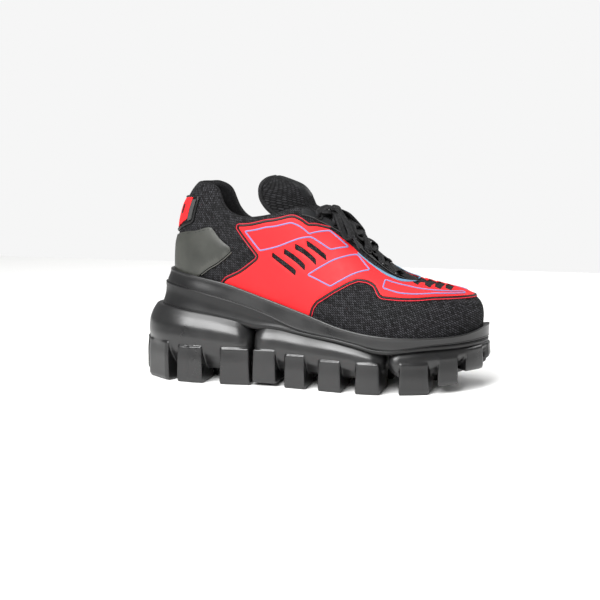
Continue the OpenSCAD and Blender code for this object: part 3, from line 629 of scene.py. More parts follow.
# The bow lies lower on the inner side, where the throat's edge is lower
SIDE_DROP = {"outer": 0, "inner": 2.5}


def lace_ups(points, forward, roll):
    """Which way a lace's flat side faces: up, tipped forward, and rolled out to each side."""
    return np.stack([np.full(len(points), forward), points[:, 1] / roll, np.ones(len(points))], 1)


def free_lace(name, route, far_end, pieces=()):
    """A free run of flat lace along a route."""
    line = curve(route, 8)
    lace = tube_object(name, line, lace_ups(line, forward=0.4, roll=30), FREE_W / 2, LACE_T / 2, 16)
    node = "lace_loops" if far_end == "object" else "lace_ends"
    dress(lace, LACE, "lace", node)


def aglet(name, route):
    """Shrunk tip on a lace's end, with a small collar and a rounded point."""
    tip, before = np.array(route[-1], float), np.array(route[-2], float)
    along = unit(tip - before)
    start = tip + along * 0.3
    finish = start + along * [0.8, 0.35, 1] * AGLET_L
    shares = np.array([0, 0.02, 0.1, 0.14, 0.9, 0.97, 1])
    radius = np.array([0.8, 1, 1, 0.86, 0.8, 0.6, 0.2])
    line = np.array([mix(start, finish, s) for s in shares])
    piece = tube_object(name, line, np.tile([1.0, 0, 0], (len(line), 1)), radius * 1.7,
                        radius * 1.3, 20)
    return dress(piece, AGLET, "aglet", "aglets")


def make_free_laces():
    for side, s in SIDES.items():
        loop, end = ([(x, y * s, z - SIDE_DROP[side]) for x, y, z in route]
                     for route in (LOOP_ROUTE, END_ROUTE))
        free_lace(f"lace_loop_{side}", loop, "object")
        free_lace(f"lace_end_{side}", end, "fitting", [aglet(f"aglet_{side}", end)])


make_free_laces()

# ---------- sole: lugged pods from a distance field ----------

# Size of a distance field's cells, and the space that holds a pod's field
PITCH = 0.9
FIELD_HALF_WIDTH = 66
FIELD_FLOOR, FIELD_TOP = -3, 68
FIELD_MARGIN = 6
POD_HALF = SOLE_LENGTH / 2
HUB_RANGE = (45, 262)
# How far from the hub line the lugs begin
CHANNEL = 14


def round_max(a, b, r):
    """The part inside both shapes, with an edge of radius r."""
    return np.minimum(-r, np.maximum(a, b)) + np.hypot(np.maximum(r + a, 0), np.maximum(r + b, 0))


def round_min(a, b, r):
    """Both shapes together, with a fillet of radius r."""
    return -round_max(-a, -b, r)


def outline_distance(x, y):
    """About how far a point is outside the sole's outline."""
    width = HALF_WIDTH(x)
    a, b = (x - POD_HALF) / POD_HALF, (y - CENTRE_LINE(x)) / width
    g = np.maximum(np.hypot(a, b), 1e-3)
    return (g - 1) * g / np.maximum(np.hypot(a / POD_HALF, b / width), 1e-4)


def pod_body(x, y, z, back, front, r_back, r_front):
    """Bulging block under the wedge, with round inner corners."""
    under, top = POD_UNDER(x), POD_TOP(x)
    inset = POD_SECTION((z - under) / (top - under))
    wall = outline_distance(x, y) + inset
    if r_front:
        wall = round_max(wall, x - front + inset / 3, r_front)
    if r_back:
        wall = round_max(wall, back - x + inset / 3, r_back)
    return round_max(round_max(wall, z - top, 1.5), under - z, 2)


def edge_point(angle):
    a = math.radians(angle)
    x = POD_HALF - POD_HALF * math.cos(a)
    return np.array([x, CENTRE_LINE(x) - HALF_WIDTH(x) * math.sin(a)])


def hub_of(x):
    """Nearest point of the sole's spine, from which the lugs fan out."""
    at = np.clip(x, *HUB_RANGE)
    return np.stack([at, CENTRE_LINE(at)], -1)


def lug_body(x, y, z, a0, a1):
    """Lug between two angles of the outline: drafted sides, a flat face, a crisp top ledge."""
    corners = [edge_point(a0), edge_point(a1)]
    middle = (corners[0] + corners[1]) / 2
    z0, z1 = float(LUG_UNDER(middle[0])), float(LUG_TOP(middle[0]))
    sides = []
    for corner in corners:
        way = unit(corner - hub_of(corner[0]))
        across = np.array([-way[1], way[0]])
        across *= -np.sign(np.dot(middle - corner, across))
        sides.append((x - corner[0]) * across[0] + (y - corner[1]) * across[1])
    flare = 0.03 * (z1 - z)
    chord = unit(corners[1] - corners[0])
    out = np.array([chord[1], -chord[0]])
    out *= np.sign(np.dot(out, middle - hub_of(middle[0])))
    face = (x - middle[0]) * out[0] + (y - middle[1]) * out[1] - 0.9
    lean = 0.9 * smooth_step((z - z1 + 14) / 14) + np.maximum(0, z0 + 3 - z) * 0.5
    face = np.maximum(face, outline_distance(x, y)) + lean
    inner = CHANNEL - np.linalg.norm(np.stack([x, y], -1) - hub_of(x), axis=-1)
    body = round_max(np.maximum(*sides) - flare, face, 1.1)
    return np.maximum(round_max(round_max(body, z - z1, 0.7), z0 - z, 1.2), inner)


def tread_bar(x, y, z, x0, x1):
    """Bar across the middle of the tread."""
    middle = (x0 + x1) / 2
    z0 = float(LUG_UNDER(middle)) + 1
    sides = round_max(np.abs(x - middle) - (x1 - x0) / 2, np.abs(y - CENTRE_LINE(x)) - 9, 1.5)
    return np.maximum(round_max(sides, z0 - z, 1), z - 14)


def field_object(name, field, low, high, pitch):
    """Mesh of the surface where a field of distances is nought."""
    axes = [np.arange(a, b + pitch, pitch) for a, b in zip(low, high)]
    values = field(*np.meshgrid(*axes, indexing="ij"))
    grid = openvdb.FloatGrid(3.0 * pitch)
    grid.copyFromArray(np.clip(values, -3 * pitch, 3 * pitch).astype(np.float32))
    points, quads = grid.convertToQuads(isovalue=0.0)
    points = points.astype(float) * pitch + low
    a, b, c = (points[quads[:, k]] for k in range(3))
    if np.einsum("ij,ij->i", a, np.cross(b, c)).sum() < 0:
        quads = quads[:, ::-1]
    return mesh_object(name, points, quads.tolist())


# Each pod: where it starts and ends, its inner corner radii, its lugs by angle, its tread bars
PODS = {
    "heel": dict(span=(0, 104.8), radii=(0, 12), centre=[(-11, 11)],
                 pairs=[(17, 37), (42.8, 54), (61.7, 71.7)], bars=[(40, 52), (62, 75), (84, 97)]),
    "mid": dict(span=(105.2, 220.8), radii=(10, 12), centre=[],
                pairs=[(73.4, 80.8), (84.4, 90.8), (95.8, 102.9), (108.4, 116)],
                bars=[(112, 124), (140, 152), (170, 183), (198, 210)]),
    "toe": dict(span=(221.2, 300), radii=(10, 0), centre=[(173, 187)],
                pairs=[(123.5, 134), (138.5, 148), (153, 166)], bars=[(235, 248), (256, 266)]),
}


def make_pod(kind):
    pod = PODS[kind]
    lugs = pod["centre"] + pod["pairs"] + [(360 - b, 360 - a) for a, b in pod["pairs"]]

    def field(x, y, z):
        made = pod_body(x, y, z, *pod["span"], *pod["radii"])
        for a0, a1 in lugs:
            made = round_min(made, lug_body(x, y, z, a0, a1), 1.0)
        for x0, x1 in pod["bars"]:
            made = round_min(made, tread_bar(x, y, z, x0, x1), 1.0)
        return made

    back, front = pod["span"]
    low = np.array([back - FIELD_MARGIN, -FIELD_HALF_WIDTH, FIELD_FLOOR])
    high = np.array([front + FIELD_MARGIN, FIELD_HALF_WIDTH, FIELD_TOP])
    piece = field_object(f"{kind}_pod", field, low, high, PITCH)
    dress(piece, SOLE, "sole_rubber", f"outsole_{kind}_pod")


for pod_name in PODS:
    make_pod(pod_name)

# ---------- sole: side bands, rim and footbed ----------

AROUND = 300
ANGLES = np.linspace(0, 2 * np.pi, AROUND, endpoint=False)


def band_object(name, levels):
    """Closed loft through levels, each an inset and a height by distance from the heel."""
    rings = np.array([ring_point(ANGLES, inset, height) for inset, height in levels])
    return mesh_object(name, rings.reshape(-1, 3), grid_faces(len(rings), AROUND, True, True, True))


def between(a, b, t):
    return lambda x: mix(a(x), b(x), t)


def raised(a, d):
    return lambda x: a(x) + d


def bed_grid(margin, rows, inset, columns):
    """Grid over the footbed, from side to side, short of the heel and toe by a margin."""
    turn = np.linspace(margin, 1 - margin, rows) * np.pi
    edge = raised(RIM_INSET, inset)
    left, right = ring_point(turn, edge, bed), ring_point(-turn, edge, bed)
    grid = mix(left[:, None], right[:, None], np.linspace(0, 1, columns)[None, :, None])
    grid[..., 2] = bed(grid[..., 0])
    return grid


def crease_step(x):
    """How far the rim is set back above the crease: most at the heel, gone at the waist."""
    return 1.3 * (1 - smooth_step((x - 95) / 50)) + 0.15


def heel_lean(x):
    """How far the band leans in towards the crease round the back of the heel."""
    return 3.5 * (1 - smooth_step(x / 70))


def leaned(share, off, step=0.0):
    """Inset of the band at a share of its height, and of the step at the crease."""
    return lambda x: BAND_INSET(x) + off + share * heel_lean(x) + step * crease_step(x)


def lip_drop(x):
    """How much lower than the design's rim the lip runs round the heel."""
    return 3.8 * (1 - smooth_step((x - 20) / 70))


def make_midsole():
    """Side band of the wedge from the pods up to the crease, hollowed a little."""
    hollow = [(0, 0.6), (0.12, 0.9), (0.3, 1.5), (0.55, 1.7), (0.8, 1.2), (0.93, 0.5)]
    levels = [(raised(BAND_INSET, 9), raised(POD_TOP, -3)),
              (raised(BAND_INSET, 0.8), raised(POD_TOP, -3))]
    levels += [(leaned(share, off), between(POD_TOP, raised(CREASE, -1.2), share))
               for share, off in hollow]
    shoulder = [(0, 0.35, -1.0), (0, 0.3, -0.7), (0.1, 0.35, -0.35), (0.3, 0.4, -0.1), (0.6, 0.4, 0),
                (1, 1.5, -0.1)]
    levels += [(leaned(1, off, step), raised(CREASE, rise)) for step, off, rise in shoulder]
    levels.append((raised(BAND_INSET, 9), raised(CREASE, -0.5)))
    band = band_object("midsole_band", levels)
    dress(band, WEDGE, "midsole_foam", "midsole_wedge")
    grid = bed_grid(0.02, 60, RIM_WALL + 0.2, 13)
    dress(thickened(sheet_object("footbed", grid), 3), WEDGE, "midsole_foam")


def make_rim():
    """Upper side band: from the crease it leans in to a rounded lip, then drops inside."""
    lean = [(0.0, 0.5), (0.1, 0.25), (0.25, 0.15), (0.42, 0.2), (0.58, 0.3), (0.74, 0.5),
            (0.86, 0.72)]

    foot = leaned(1, 0.3, 1)

    def lip_height(x):
        return RIM_TOP(x) - lip_drop(x)

    levels = [(raised(RIM_INSET, RIM_WALL), raised(CREASE, -1.5)),
              (raised(foot, 0.5), raised(CREASE, -1.5))]
    levels += [(between(foot, raised(RIM_INSET, 0.2), smooth_step(share) * 0.9 + 0.1 * pull),
                between(raised(CREASE, -0.6), raised(lip_height, -1.6), share))
               for share, pull in lean]
    lip = [(0.1, -1.4), (0.0, -0.9), (0.25, -0.35), (0.8, -0.05), (1.6, 0), (2.8, -0.2), (4.2, -0.9),
           (4.9, -2.5), (RIM_WALL + 1, -6)]
    levels += [(raised(RIM_INSET, off), raised(lip_height, rise)) for off, rise in lip]
    band = band_object("cupsole_band", levels)
    dress(band, SOLE, "sole_rubber", "cupsole_rim")


make_midsole()
make_rim()

# ---------- upper: knit shell, padded collar and lining ----------

KNIT_T = 1.2
LINING_T = 0.8
COLLAR_T = 7.6
THROAT_T = 3.6
SEAM_R = 0.55
SKIN_U = np.linspace(0, ALL_RIBS, ALL_RIBS * 12, endpoint=False)


def rib_distance(u):
    """Distance in ribs from the heel's back, on either side."""
    u = np.asarray(u, float) % ALL_RIBS
    return np.minimum(u, ALL_RIBS - u)


def edge_thickness(u):
    """Thickness of the padded edge: full round the collar, thin along the throat."""
    return mix(COLLAR_T, THROAT_T, smooth_step((rib_distance(u) - 7.2) / 1.6))


def roll_start(u):
    """Where on the rib the rolled edge begins, so that its crest is at the topline."""
    rise = np.linalg.norm(skin_base(u, 1.0) - skin_base(u, 0.9), axis=-1) * 10
    return 1 - edge_thickness(u) / 2 / rise


def rolled_edge(u, turn):
    """Point of the rolled edge, turn running from 0 outside to pi inside."""
    start = roll_start(u)
    up, out = skin_frame(u, start)
    half = (edge_thickness(u) / 2)[..., None]
    turn = np.asarray(turn, float)[..., None]
    return skin_base(u, start) - out * half + (out * np.cos(turn) + up * np.sin(turn)) * half


def lining_depth(u, v):
    """Depth of the lining behind the knit: padded near the collar, thin near the foot."""
    pad = np.clip((v - 0.42) / 0.38, 0, 1) ** 1.5
    return mix(mix(3.6, 4.2, smooth_step((10 - rib_distance(u)) / 2)), edge_thickness(u), pad)


SEAM_TURN = math.radians(64)


def make_knit_shell():
    """Outer knit from its foot up the ribs and over to the collar seam."""
    u = SKIN_U[:, None]
    body = skin(u, roll_start(u) * np.linspace(0, 1, 56)[None, :])
    edge = rolled_edge(u, np.linspace(0, SEAM_TURN, 7)[None, 1:])
    shell = sheet_object("knit_shell", np.concatenate([body, edge], 1), wrap_rows=True)
    thickened(shell, KNIT_T)
    dress(shell, KNIT, "knit", "knit_quarter", "knit_vamp")


def make_lining():
    """Padded collar and lining as one skin from the collar seam down to the footbed."""
    u = SKIN_U[:, None]
    edge = rolled_edge(u, np.linspace(SEAM_TURN, np.pi, 12)[None, :])
    down = mix(roll_start(u), 0.05, np.linspace(0, 1, 46)[None, 1:])
    body = skin(u, down, -lining_depth(u, down))
    lining = sheet_object("collar_and_lining", np.concatenate([edge, body], 1), wrap_rows=True)
    thickened(lining, LINING_T)
    dress(lining, LINING, "lining", "collar_foam", "collar_lining", "vamp_lining")


def make_collar_seam():
    """Fine cord in the seam between knit and lining."""
    line = rolled_edge(SKIN_U, np.full(len(SKIN_U), SEAM_TURN))
    ups = line - skin_base(SKIN_U, 0.9)
    seam = tube_object("collar_seam", line, ups, SEAM_R, SEAM_R, 8, closed=True)
    dress(seam, BINDING, "binding")


make_knit_shell()
make_lining()
make_collar_seam()

# ---------- panels bonded on the upper ----------

# About how many millimetres one rib step, and one whole rib, are
FLAT_U, FLAT_V = 20.0, 75.0


def to_flat(path):
    return np.asarray(path, float) * [FLAT_U, FLAT_V]


def from_flat(path):
    return np.asarray(path, float) / [FLAT_U, FLAT_V]


def other_side(path):
    return [(ALL_RIBS - u, v) for u, v in reversed(list(path))]


def rounded(path, radius, closed=True, steps=4):
    """Corners of a [u, v] path turned into arcs of about a radius, in millimetres."""
    p = to_flat(path)
    t = np.linspace(0, 1, steps + 1)[:, None]
    out = []
    for a, b, c in zip(np.roll(p, 1, 0), p, np.roll(p, -1, 0)):
        start, end = (b + (q - b) * min(radius / np.linalg.norm(q - b), 0.45) for q in (a, c))
        out.append(start * (1 - t) ** 2 + b * 2 * t * (1 - t) + end * t ** 2)
    if not closed:
        out = [p[:1], *out[1:-1], p[-1:]]
    return from_flat(np.vstack(out))


def inside(points, polygon):
    """Which points lie in a polygon."""
    x, y = points[:, 0][:, None], points[:, 1][:, None]
    ax, ay = polygon[:, 0][None], polygon[:, 1][None]
    bx, by = np.roll(polygon[:, 0], -1)[None], np.roll(polygon[:, 1], -1)[None]
    crosses = (ay > y) != (by > y)
    at = ax + (y - ay) * (bx - ax) / np.where(by == ay, 1e-9, by - ay)
    return (crosses & (x < at)).sum(1) % 2 == 1


def edge_distance(points, loops):
    """Distance of each flat point to the nearest outline."""
    best = np.full(len(points), 1e9)
    for loop in loops:
        for p, q in zip(loop, np.roll(loop, -1, 0)):
            run = q - p
            t = np.clip(((points - p) @ run) / max(run @ run, 1e-9), 0, 1)
            best = np.minimum(best, np.linalg.norm(points - p - t[:, None] * run, axis=1))
    return best


def in_panel(points, loops):
    """Which flat points lie in the first outline and in none of the others."""
    keep = inside(points, loops[0])
    for hole in loops[1:]:
        keep &= ~inside(points, hole)
    return keep


def panel_object(name, outline, holes, off, thick, crown=0.0, cell=2.2, bevel=0.3):
    """Panel laid on the upper: an outline with holes, given in [u, v]."""
    loops = [spaced(to_flat(p), 1.2, closed=True) for p in [outline, *holes]]
    low, high = loops[0].min(0), loops[0].max(0)
    grid = np.stack(np.meshgrid(np.arange(low[0], high[0], cell),
                                np.arange(low[1], high[1], cell)), -1).reshape(-1, 2)
    grid = grid[in_panel(grid, loops)]
    grid = grid[edge_distance(grid, loops) > cell * 0.45]
    points = np.vstack([*loops, grid])
    edges, start = [], 0
    for loop in loops:
        edges += [(start + i, start + (i + 1) % len(loop)) for i in range(len(loop))]
        start += len(loop)
    made = delaunay_2d_cdt([Vector(p) for p in points], edges, [], 0, 1e-4)
    flat = np.array([tuple(p) for p in made[0]])
    faces = np.array([f for f in made[2] if len(f) == 3])
    faces = faces[in_panel(flat[faces].mean(1), loops)]
    used = np.unique(faces)
    index = np.full(len(flat), -1)
    index[used] = np.arange(len(used))
    flat, faces = flat[used], index[faces]
    lift = off + crown * smooth_step(edge_distance(flat, loops) / 5)
    uv = from_flat(flat)
    points = skin(uv[:, 0], uv[:, 1], lift)
    a, b, c = (points[faces[:, k]] for k in range(3))
    out = skin_frame(uv[faces[:, 0], 0], uv[faces[:, 0], 1])[1]
    wrong = np.einsum("ij,ij->i", np.cross(b - a, c - a), out) < 0
    faces[wrong] = faces[wrong][:, ::-1]
    piece = mesh_object(name, points, faces.tolist(), flat)
    thickened(piece, thick, offset=1)
    return bevelled(piece, bevel)


def ribbon_object(name, path, off, width, thick, closed=False, radius=2.0, aside=0.0, step=0.8):
    """Raised ribbon laid on the upper along a [u, v] path; width may be a list along it."""
    line = from_flat(spaced(to_flat(rounded(path, radius, closed)), step, closed))
    up, out = skin_frame(line[:, 0], line[:, 1])
    spots = skin(line[:, 0], line[:, 1], off)
    if aside:
        along = (unit(np.roll(spots, -1, 0) - np.roll(spots, 1, 0)) if closed
                 else unit(np.gradient(spots, axis=0)))
        spots = spots + np.cross(along, out) * aside
    if not np.isscalar(width):
        width = np.interp(np.linspace(0, 1, len(line)), np.linspace(0, 1, len(width)), width)
    return tube_object(name, spots, out, np.asarray(width) / 2, thick / 2, 10, closed)


def strip_holes(ends, width):
    """Slots as four-cornered outlines between pairs of [u, v] ends."""
    holes = []
    for a, b in ends:
        p, q = to_flat([a, b])
        way = unit(q - p)
        side = np.array([-way[1], way[0]]) * width / 2
        slant = way * width * 0.18
        holes.append(from_flat(np.array([p + side - slant, q + side - slant,
                                         q - side + slant, p - side + slant])))
    return holes


REAR_EDGE = [(4.2, 0.13), (4.42, 0.205), (5.25, 0.34), (6.2, 0.515), (6.3, 0.56), (5.8, 0.7),
             (5.3, 0.838)]
TOP_EDGE = [(6.7, 0.9), (7.66, 0.89), (8.2, 0.8), (8.64, 0.833), (9.23, 0.865), (10.08, 0.825),
            (10.9, 0.765), (11.33, 0.74), (11.9, 0.757), (12.6, 0.83), (13.5, 0.87)]
FRONT_EDGE = [(8.08, 0.1), (8.2, 0.2), (8.4, 0.265), (9.04, 0.383), (9.7, 0.497), (10.1, 0.555),
              (10.5, 0.58), (10.75, 0.57), (10.82, 0.48), (11.5, 0.505), (12.5, 0.555),
              (13.4, 0.55)]
SLOTS = [((6.85, 0.58), (7.68, 0.43)), ((7.31, 0.605), (8.03, 0.477)),
         ((7.7, 0.632), (8.49, 0.542)), ((8.14, 0.662), (8.94, 0.607))]
WING = [(5.72, 0.8), (6.7, 0.845), (7.61, 0.84), (8.26, 0.74), (9.2, 0.85), (9.95, 0.79),
        (9.16, 0.685), (8.34, 0.72), (7.2, 0.655), (6.36, 0.61)]
QUAD = [(8.12, 0.432), (9.2, 0.61), (10.3, 0.77), (10.68, 0.688), (9.85, 0.56), (9.01, 0.413)]
TOE_SHAPE = [(11.2, 0.66), (10.98, 0.56), (11.53, 0.555), (12.61, 0.602), (13.6, 0.59),
             (13.65, 0.625), (12.95, 0.645), (12.0, 0.685)]
THROAT_LINE = [(10.31, 0.79), (10.89, 0.765), (11.33, 0.745), (11.89, 0.757), (12.3, 0.8),
               (13.2, 0.9)]
# Outer ends of the vents across the toe
TOE_BARS = [(12.42, 0.76), (12.7, 0.725), (12.97, 0.7), (13.28, 0.68)]
# Where the overlay's front edge crosses the middle of the toe
TOE_V = 0.545
FILM_OFF = 0.3
FILM_T = 0.8


def overlay_outline():
    lateral = rounded(list(reversed(TOP_EDGE)) + list(reversed(REAR_EDGE)) + FRONT_EDGE, 2.5,
                      closed=False)
    lateral = [tuple(p) for p in lateral]
    return lateral + [(LAST_RIB, TOE_V)] + other_side(lateral) + [(LAST_RIB, 0.87)]


def bar_hole(u0, v0, width=4.0):
    """Vent straight across the toe, from its outer end to the mirrored one."""
    station = skin(u0, v0)[0]
    heights = np.linspace(0.4, 1, 200)
    line = [(u, np.interp(-station, -skin(u, heights)[:, 0], heights))
            for u in np.linspace(u0, ALL_RIBS - u0, 15)]
    half = width / 2 / FLAT_V
    return np.vstack([np.array(line) + [0, half], np.array(line)[::-1] - [0, half]])


def make_overlay():
    slots = strip_holes(SLOTS, 3.2)
    holes = slots + [np.array(other_side(h)) for h in slots]
    holes += [bar_hole(*bar) for bar in TOE_BARS]
    overlay = panel_object("colour_overlay_film", overlay_outline(), holes, FILM_OFF, FILM_T)
    dress(overlay, RED, "red_film", "colour_overlay")


def both_sides(name, path, *args, **more):
    """A ribbon on the outer side and its mirror image on the inner side, as one object."""
    return joined(name, [ribbon_object(name, path, *args, **more),
                         ribbon_object(name + "_b", other_side(path), *args, **more)])


def edging(name, off, width, thick, aside):
    """Ribbons along the overlay's front edge and its two rear ones, as one object."""
    rear = REAR_EDGE + TOP_EDGE[:5]
    front = FRONT_EDGE + [(LAST_RIB, TOE_V)] + other_side(FRONT_EDGE)
    runs = [(front, aside), (rear, -aside), (other_side(rear), -aside)]
    return joined(name, [ribbon_object(f"{name}_{k}", path, off, width, thick, aside=way)
                         for k, (path, way) in enumerate(runs)])


def make_piping():
    """Dark piping round the overlay, and a fine red line outside it."""
    dark = edging("overlay_piping_cord", off=0.9, width=1.5, thick=1.4, aside=1.1)
    dress(dark, TRIM, "piping", "overlay_piping")
    red = edging("overlay_edge_line", off=0.55, width=0.8, thick=0.9, aside=2.3)
    dress(red, RED_LINE, "red_film")


def make_accents():
    off = FILM_OFF + FILM_T + 0.15
    lines = [both_sides(f"accent_{k}", path, off, width=1.3, thick=0.9, closed=True, radius=1.2)
             for k, path in enumerate([WING, QUAD, TOE_SHAPE])]
    dress(joined("accent_ribbons", lines), LILAC, "accent", "accent_lines")
    widths = [1.2, 1.4, 3.2, 4.2, 2.6, 1.2]
    band = both_sides("throat_band", THROAT_LINE, off, widths, thick=0.8)
    dress(band, PALE_BLUE, "accent")


# Half of the heel panel's outline, from its foot over its point to the back of the heel
HEEL_PANEL = [(2.3, 0.04), (2.75, 0.13), (3.7, 0.3), (4.7, 0.525), (4.66, 0.56), (3.3, 0.585),
              (2.35, 0.47), (0.5, 0.355)]


def mirrored(path):
    """A path's mirror image across the back of the heel, run the other way."""
    return [(-u, v) for u, v in reversed(path)]


def make_heel_panel():
    """Crowned rubber panel round the heel, dark trim over it and a raised ridge below its point,
    coloured pale as a painted highlight.
    """
    outline = rounded(HEEL_PANEL + mirrored(HEEL_PANEL), 2.5)
    panel = panel_object("heel_panel_shell", outline, [], FILM_OFF, thick=1.3, crown=0.9, bevel=0.45)
    dress(panel, HEEL, "heel_rubber", "heel_panel")
    over = HEEL_PANEL[3:] + mirrored(HEEL_PANEL[3:])
    trim = ribbon_object("heel_panel_frame", over, off=0.9, width=1.9, thick=1.8, radius=2.5,
                         aside=-1.5)
    dress(trim, TRIM, "piping", "heel_panel_trim")
    low = HEEL_PANEL[1:4]
    ridge = [ribbon_object(f"ridge_{k}", path, off=0.9, width=0.9, thick=1.4, aside=1.3)
             for k, path in enumerate([low, mirrored(low)])]
    # The ridge's pale colour is a painted highlight, not the rubber's own colour
    dress(joined("heel_panel_ridge", ridge), RIDGE_PAINTED_HIGHLIGHT, "heel_rubber")


TAB_U = 1.9
TAB_LOW = [(0, 0.405), (0.8, 0.44), (TAB_U, 0.54)]
TAB_HIGH = [(0, 0.7), (TAB_U, 0.76)]


def make_heel_tab():
    """Blank label with a strip down each end and a plain mark, in a raised frame."""
    low, high = (mirrored(path) + path[1:] for path in (TAB_LOW, TAB_HIGH))
    loop = low + high[::-1]
    narrow = rounded([(u * 0.8, v) for u, v in loop], 1.0)
    label = panel_object("heel_tab_label", narrow, [], FILM_OFF, thick=1.1, crown=0.4, cell=1.6)
    dress(label, RED, "tab_red", "heel_tab")
    edge = ribbon_object("heel_tab_rim", loop, off=0.9, width=2.2, thick=1.9, closed=True, aside=1.5)
    dress(edge, TRIM, "piping", "heel_tab_frame")
    strip = np.array([(1.56, 0.52), (1.86, 0.55), (1.86, 0.745), (1.56, 0.735)])
    strips = [panel_object(f"tab_strip_{k}", strip * [s, 1], [], FILM_OFF, thick=1.0, cell=1.6)
              for k, s in enumerate((1, -1))]
    dress(joined("heel_tab_strips", strips), GREY_STRIP, "piping")
    mark = np.array([(0.95, 0.57), (0.95, 0.66)])
    marks = [ribbon_object(f"tab_mark_{k}", mark * [s, 1], off=1.9, width=3.6, thick=0.6)
             for k, s in enumerate((1, -1))]
    dress(joined("heel_tab_marks", marks), TRIM, "piping")


def make_eyestay():
    """Smooth band that the eyelets are set in, round the throat."""
    outer = [(8.0, 0.905), (9.2, 0.9), (11.2, 0.89), (12.6, 0.9), (13.4, 0.92)]
    inner = [(14, 0.955), (13.4, 0.965), (12.6, 0.975), (11, 0.975), (8, 0.975)]
    outline = outer + [(14, 0.925)] + other_side(outer) + other_side(inner[1:]) + inner
    stay = panel_object("eyestay_band", outline, [], off=0.25, thick=1.0, cell=1.8, bevel=0.25)
    dress(stay, STAY, "eyestay_film", "eyestay")
    stitch = both_sides("eyestay_edge", outer, off=1.1, width=0.7, thick=0.7)
    dress(stitch, GREY_STRIP, "eyestay_film")


make_overlay()
make_piping()
make_accents()
make_heel_panel()
make_heel_tab()
make_eyestay()

# ---------- tongue ----------

TONGUE_ROOT = [((223, 80), (220, -8, 77.5)), ((212, 89), (209, -12, 84.5)),
               ((200, 102.5), (196, -15, 96.5)), ((190, 114.5), (185, -17.5, 106.5)),
               ((178.5, 128.5), (172, -18.5, 118.5)), ((166, 138), (156, -19, 127)),
               ((155, 145), (139, -19, 132.5))]
TONGUE_FREE = [((149.5, 148), (126, -18.5, 135)), ((147, 153), (111, -19.5, 144)),
               ((144.3, 158.5), (103.5, -20, 153)), ((138.5, 164.5), (102.5, -20, 161)),
               ((128, 168.8), (105, -18, 167)), ((119, 171.6), (109.5, -13, 170.6)),
               ((115, 172.4), (112.5, -7.5, 172))]
TONGUE_T = 5.0
TONGUE_HALF_W = 22
# Share of the design's half width that the pad fills, inside its binding
TONGUE_REACH = 0.93


def tongue_rows(rows, steps):
    return curve([[m[0], m[1], *e] for m, e in rows], steps)


def tongue_point(row, s):
    """Centre surface of the tongue at share s of its half width, -1 to 1."""
    s = np.asarray(s, float)
    row = np.asarray(row, float)
    return np.stack([mix(row[..., 0], row[..., 2], s * s), row[..., 3] * -s,
                     mix(row[..., 1], row[..., 4], s * s)], -1)


def tongue_grid(rows, shares):
    """Centre points and outward directions of the tongue over rows and shares."""
    points = np.array([tongue_point(row, shares) for row in rows])
    return points, unit(np.cross(np.gradient(points, axis=1), np.gradient(points, axis=0)))


def make_tongue():
    """The whole padded tongue as one closed pad, its shape bent where it leaves the throat."""
    rows = tongue_rows(TONGUE_ROOT + TONGUE_FREE, 6)
    shares = TONGUE_REACH * np.sin(np.linspace(-np.pi / 2, np.pi / 2, 41))
    points, out = tongue_grid(rows, shares)
    run = run_along(points[:, len(shares) // 2])
    ends = np.sqrt(np.clip(1 - (1 - np.clip((run[-1] - run) / 5, 0, 1)) ** 2, 0.003, 1))
    sides = np.sqrt(np.clip(1 - np.abs(shares / TONGUE_REACH) ** 5, 0.003, 1))
    # A sewn groove just inside each edge
    groove = 0.4 * np.exp(-((np.abs(shares) - 0.8) / 0.03) ** 2)
    half = TONGUE_T / 2 * ends[:, None] * (sides - groove)[None, :]
    swell = out * half[..., None]
    ring = np.concatenate([points + swell, (points - swell)[:, ::-1]], 1)
    count, around = ring.shape[:2]
    width = np.concatenate([shares, 2 - shares[::-1]]) * TONGUE_HALF_W
    uv = np.stack(np.meshgrid(run, width, indexing="ij"), -1)
    faces = grid_faces(count, around, False, True)
    faces += [list(range(around))[::-1], list(range((count - 1) * around, count * around))]
    tongue = mesh_object("tongue_pad", ring.reshape(-1, 3), faces, uv.reshape(-1, 2))
    dress(tongue, TONGUE_KNIT, "knit", "tongue_base", "tongue_flap", body=None)
    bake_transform(tongue)


def make_binding():
    """Binding round the free tongue's edge, from just above its hinge."""
    rows = tongue_rows(TONGUE_FREE, 6)[3:]
    edge = tongue_point(rows, -TONGUE_REACH)
    side = edge + unit(edge - tongue_point(rows, 0.1 - TONGUE_REACH)) * 0.4
    shares = np.array([-0.75, -0.4, 0, 0.4, 0.75])
    top = tongue_point(rows[-1], shares)
    top += unit(top - tongue_point(rows[-2], shares)) * 0.4
    line = spaced(curve(np.vstack([side, top, side[::-1] * [1, -1, 1]]), 2), 1.5)
    ups = np.tile([0, 0.02, 1.0], (len(line), 1))
    binding = tube_object("tongue_edge_binding", line, ups, 2.0, 2.0, 14)
    dress(binding, BINDING, "binding", "tongue_binding", body="tongue")


def tongue_patch(name, rows, half_s, sunk):
    """Patch on the tongue's front, over a share of its half width, sunk a little into it."""
    shares = np.linspace(-half_s, half_s, 17)
    points, out = tongue_grid(rows, shares)
    off = TONGUE_T / 2 - sunk + 0.4 * (1 - (np.abs(shares) / half_s) ** 6)
    patch = thickened(sheet_object(name, points + out * off[None, :, None]), 0.9, offset=1)
    return bevelled(patch, 0.3)


def make_tongue_trim():
    label = tongue_patch("tongue_front_label", tongue_rows(TONGUE_FREE, 6)[9:30], 0.42, 0.3)
    dress(label, LABEL, "label_rubber", "tongue_label", body="tongue")
    keeper = tongue_patch("lace_keeper_loop", tongue_rows(TONGUE_ROOT, 6)[27:32], 0.45, 0.2)
    dress(keeper, BINDING, "eyestay_film", "lace_keeper")


make_tongue()
make_binding()
make_tongue_trim()

# ---------- lacing across the throat ----------

EYELET_V = 0.95
EYELET_ROWS = [8.75, 9.5, 10.25, 10.95, 11.65, 12.4]
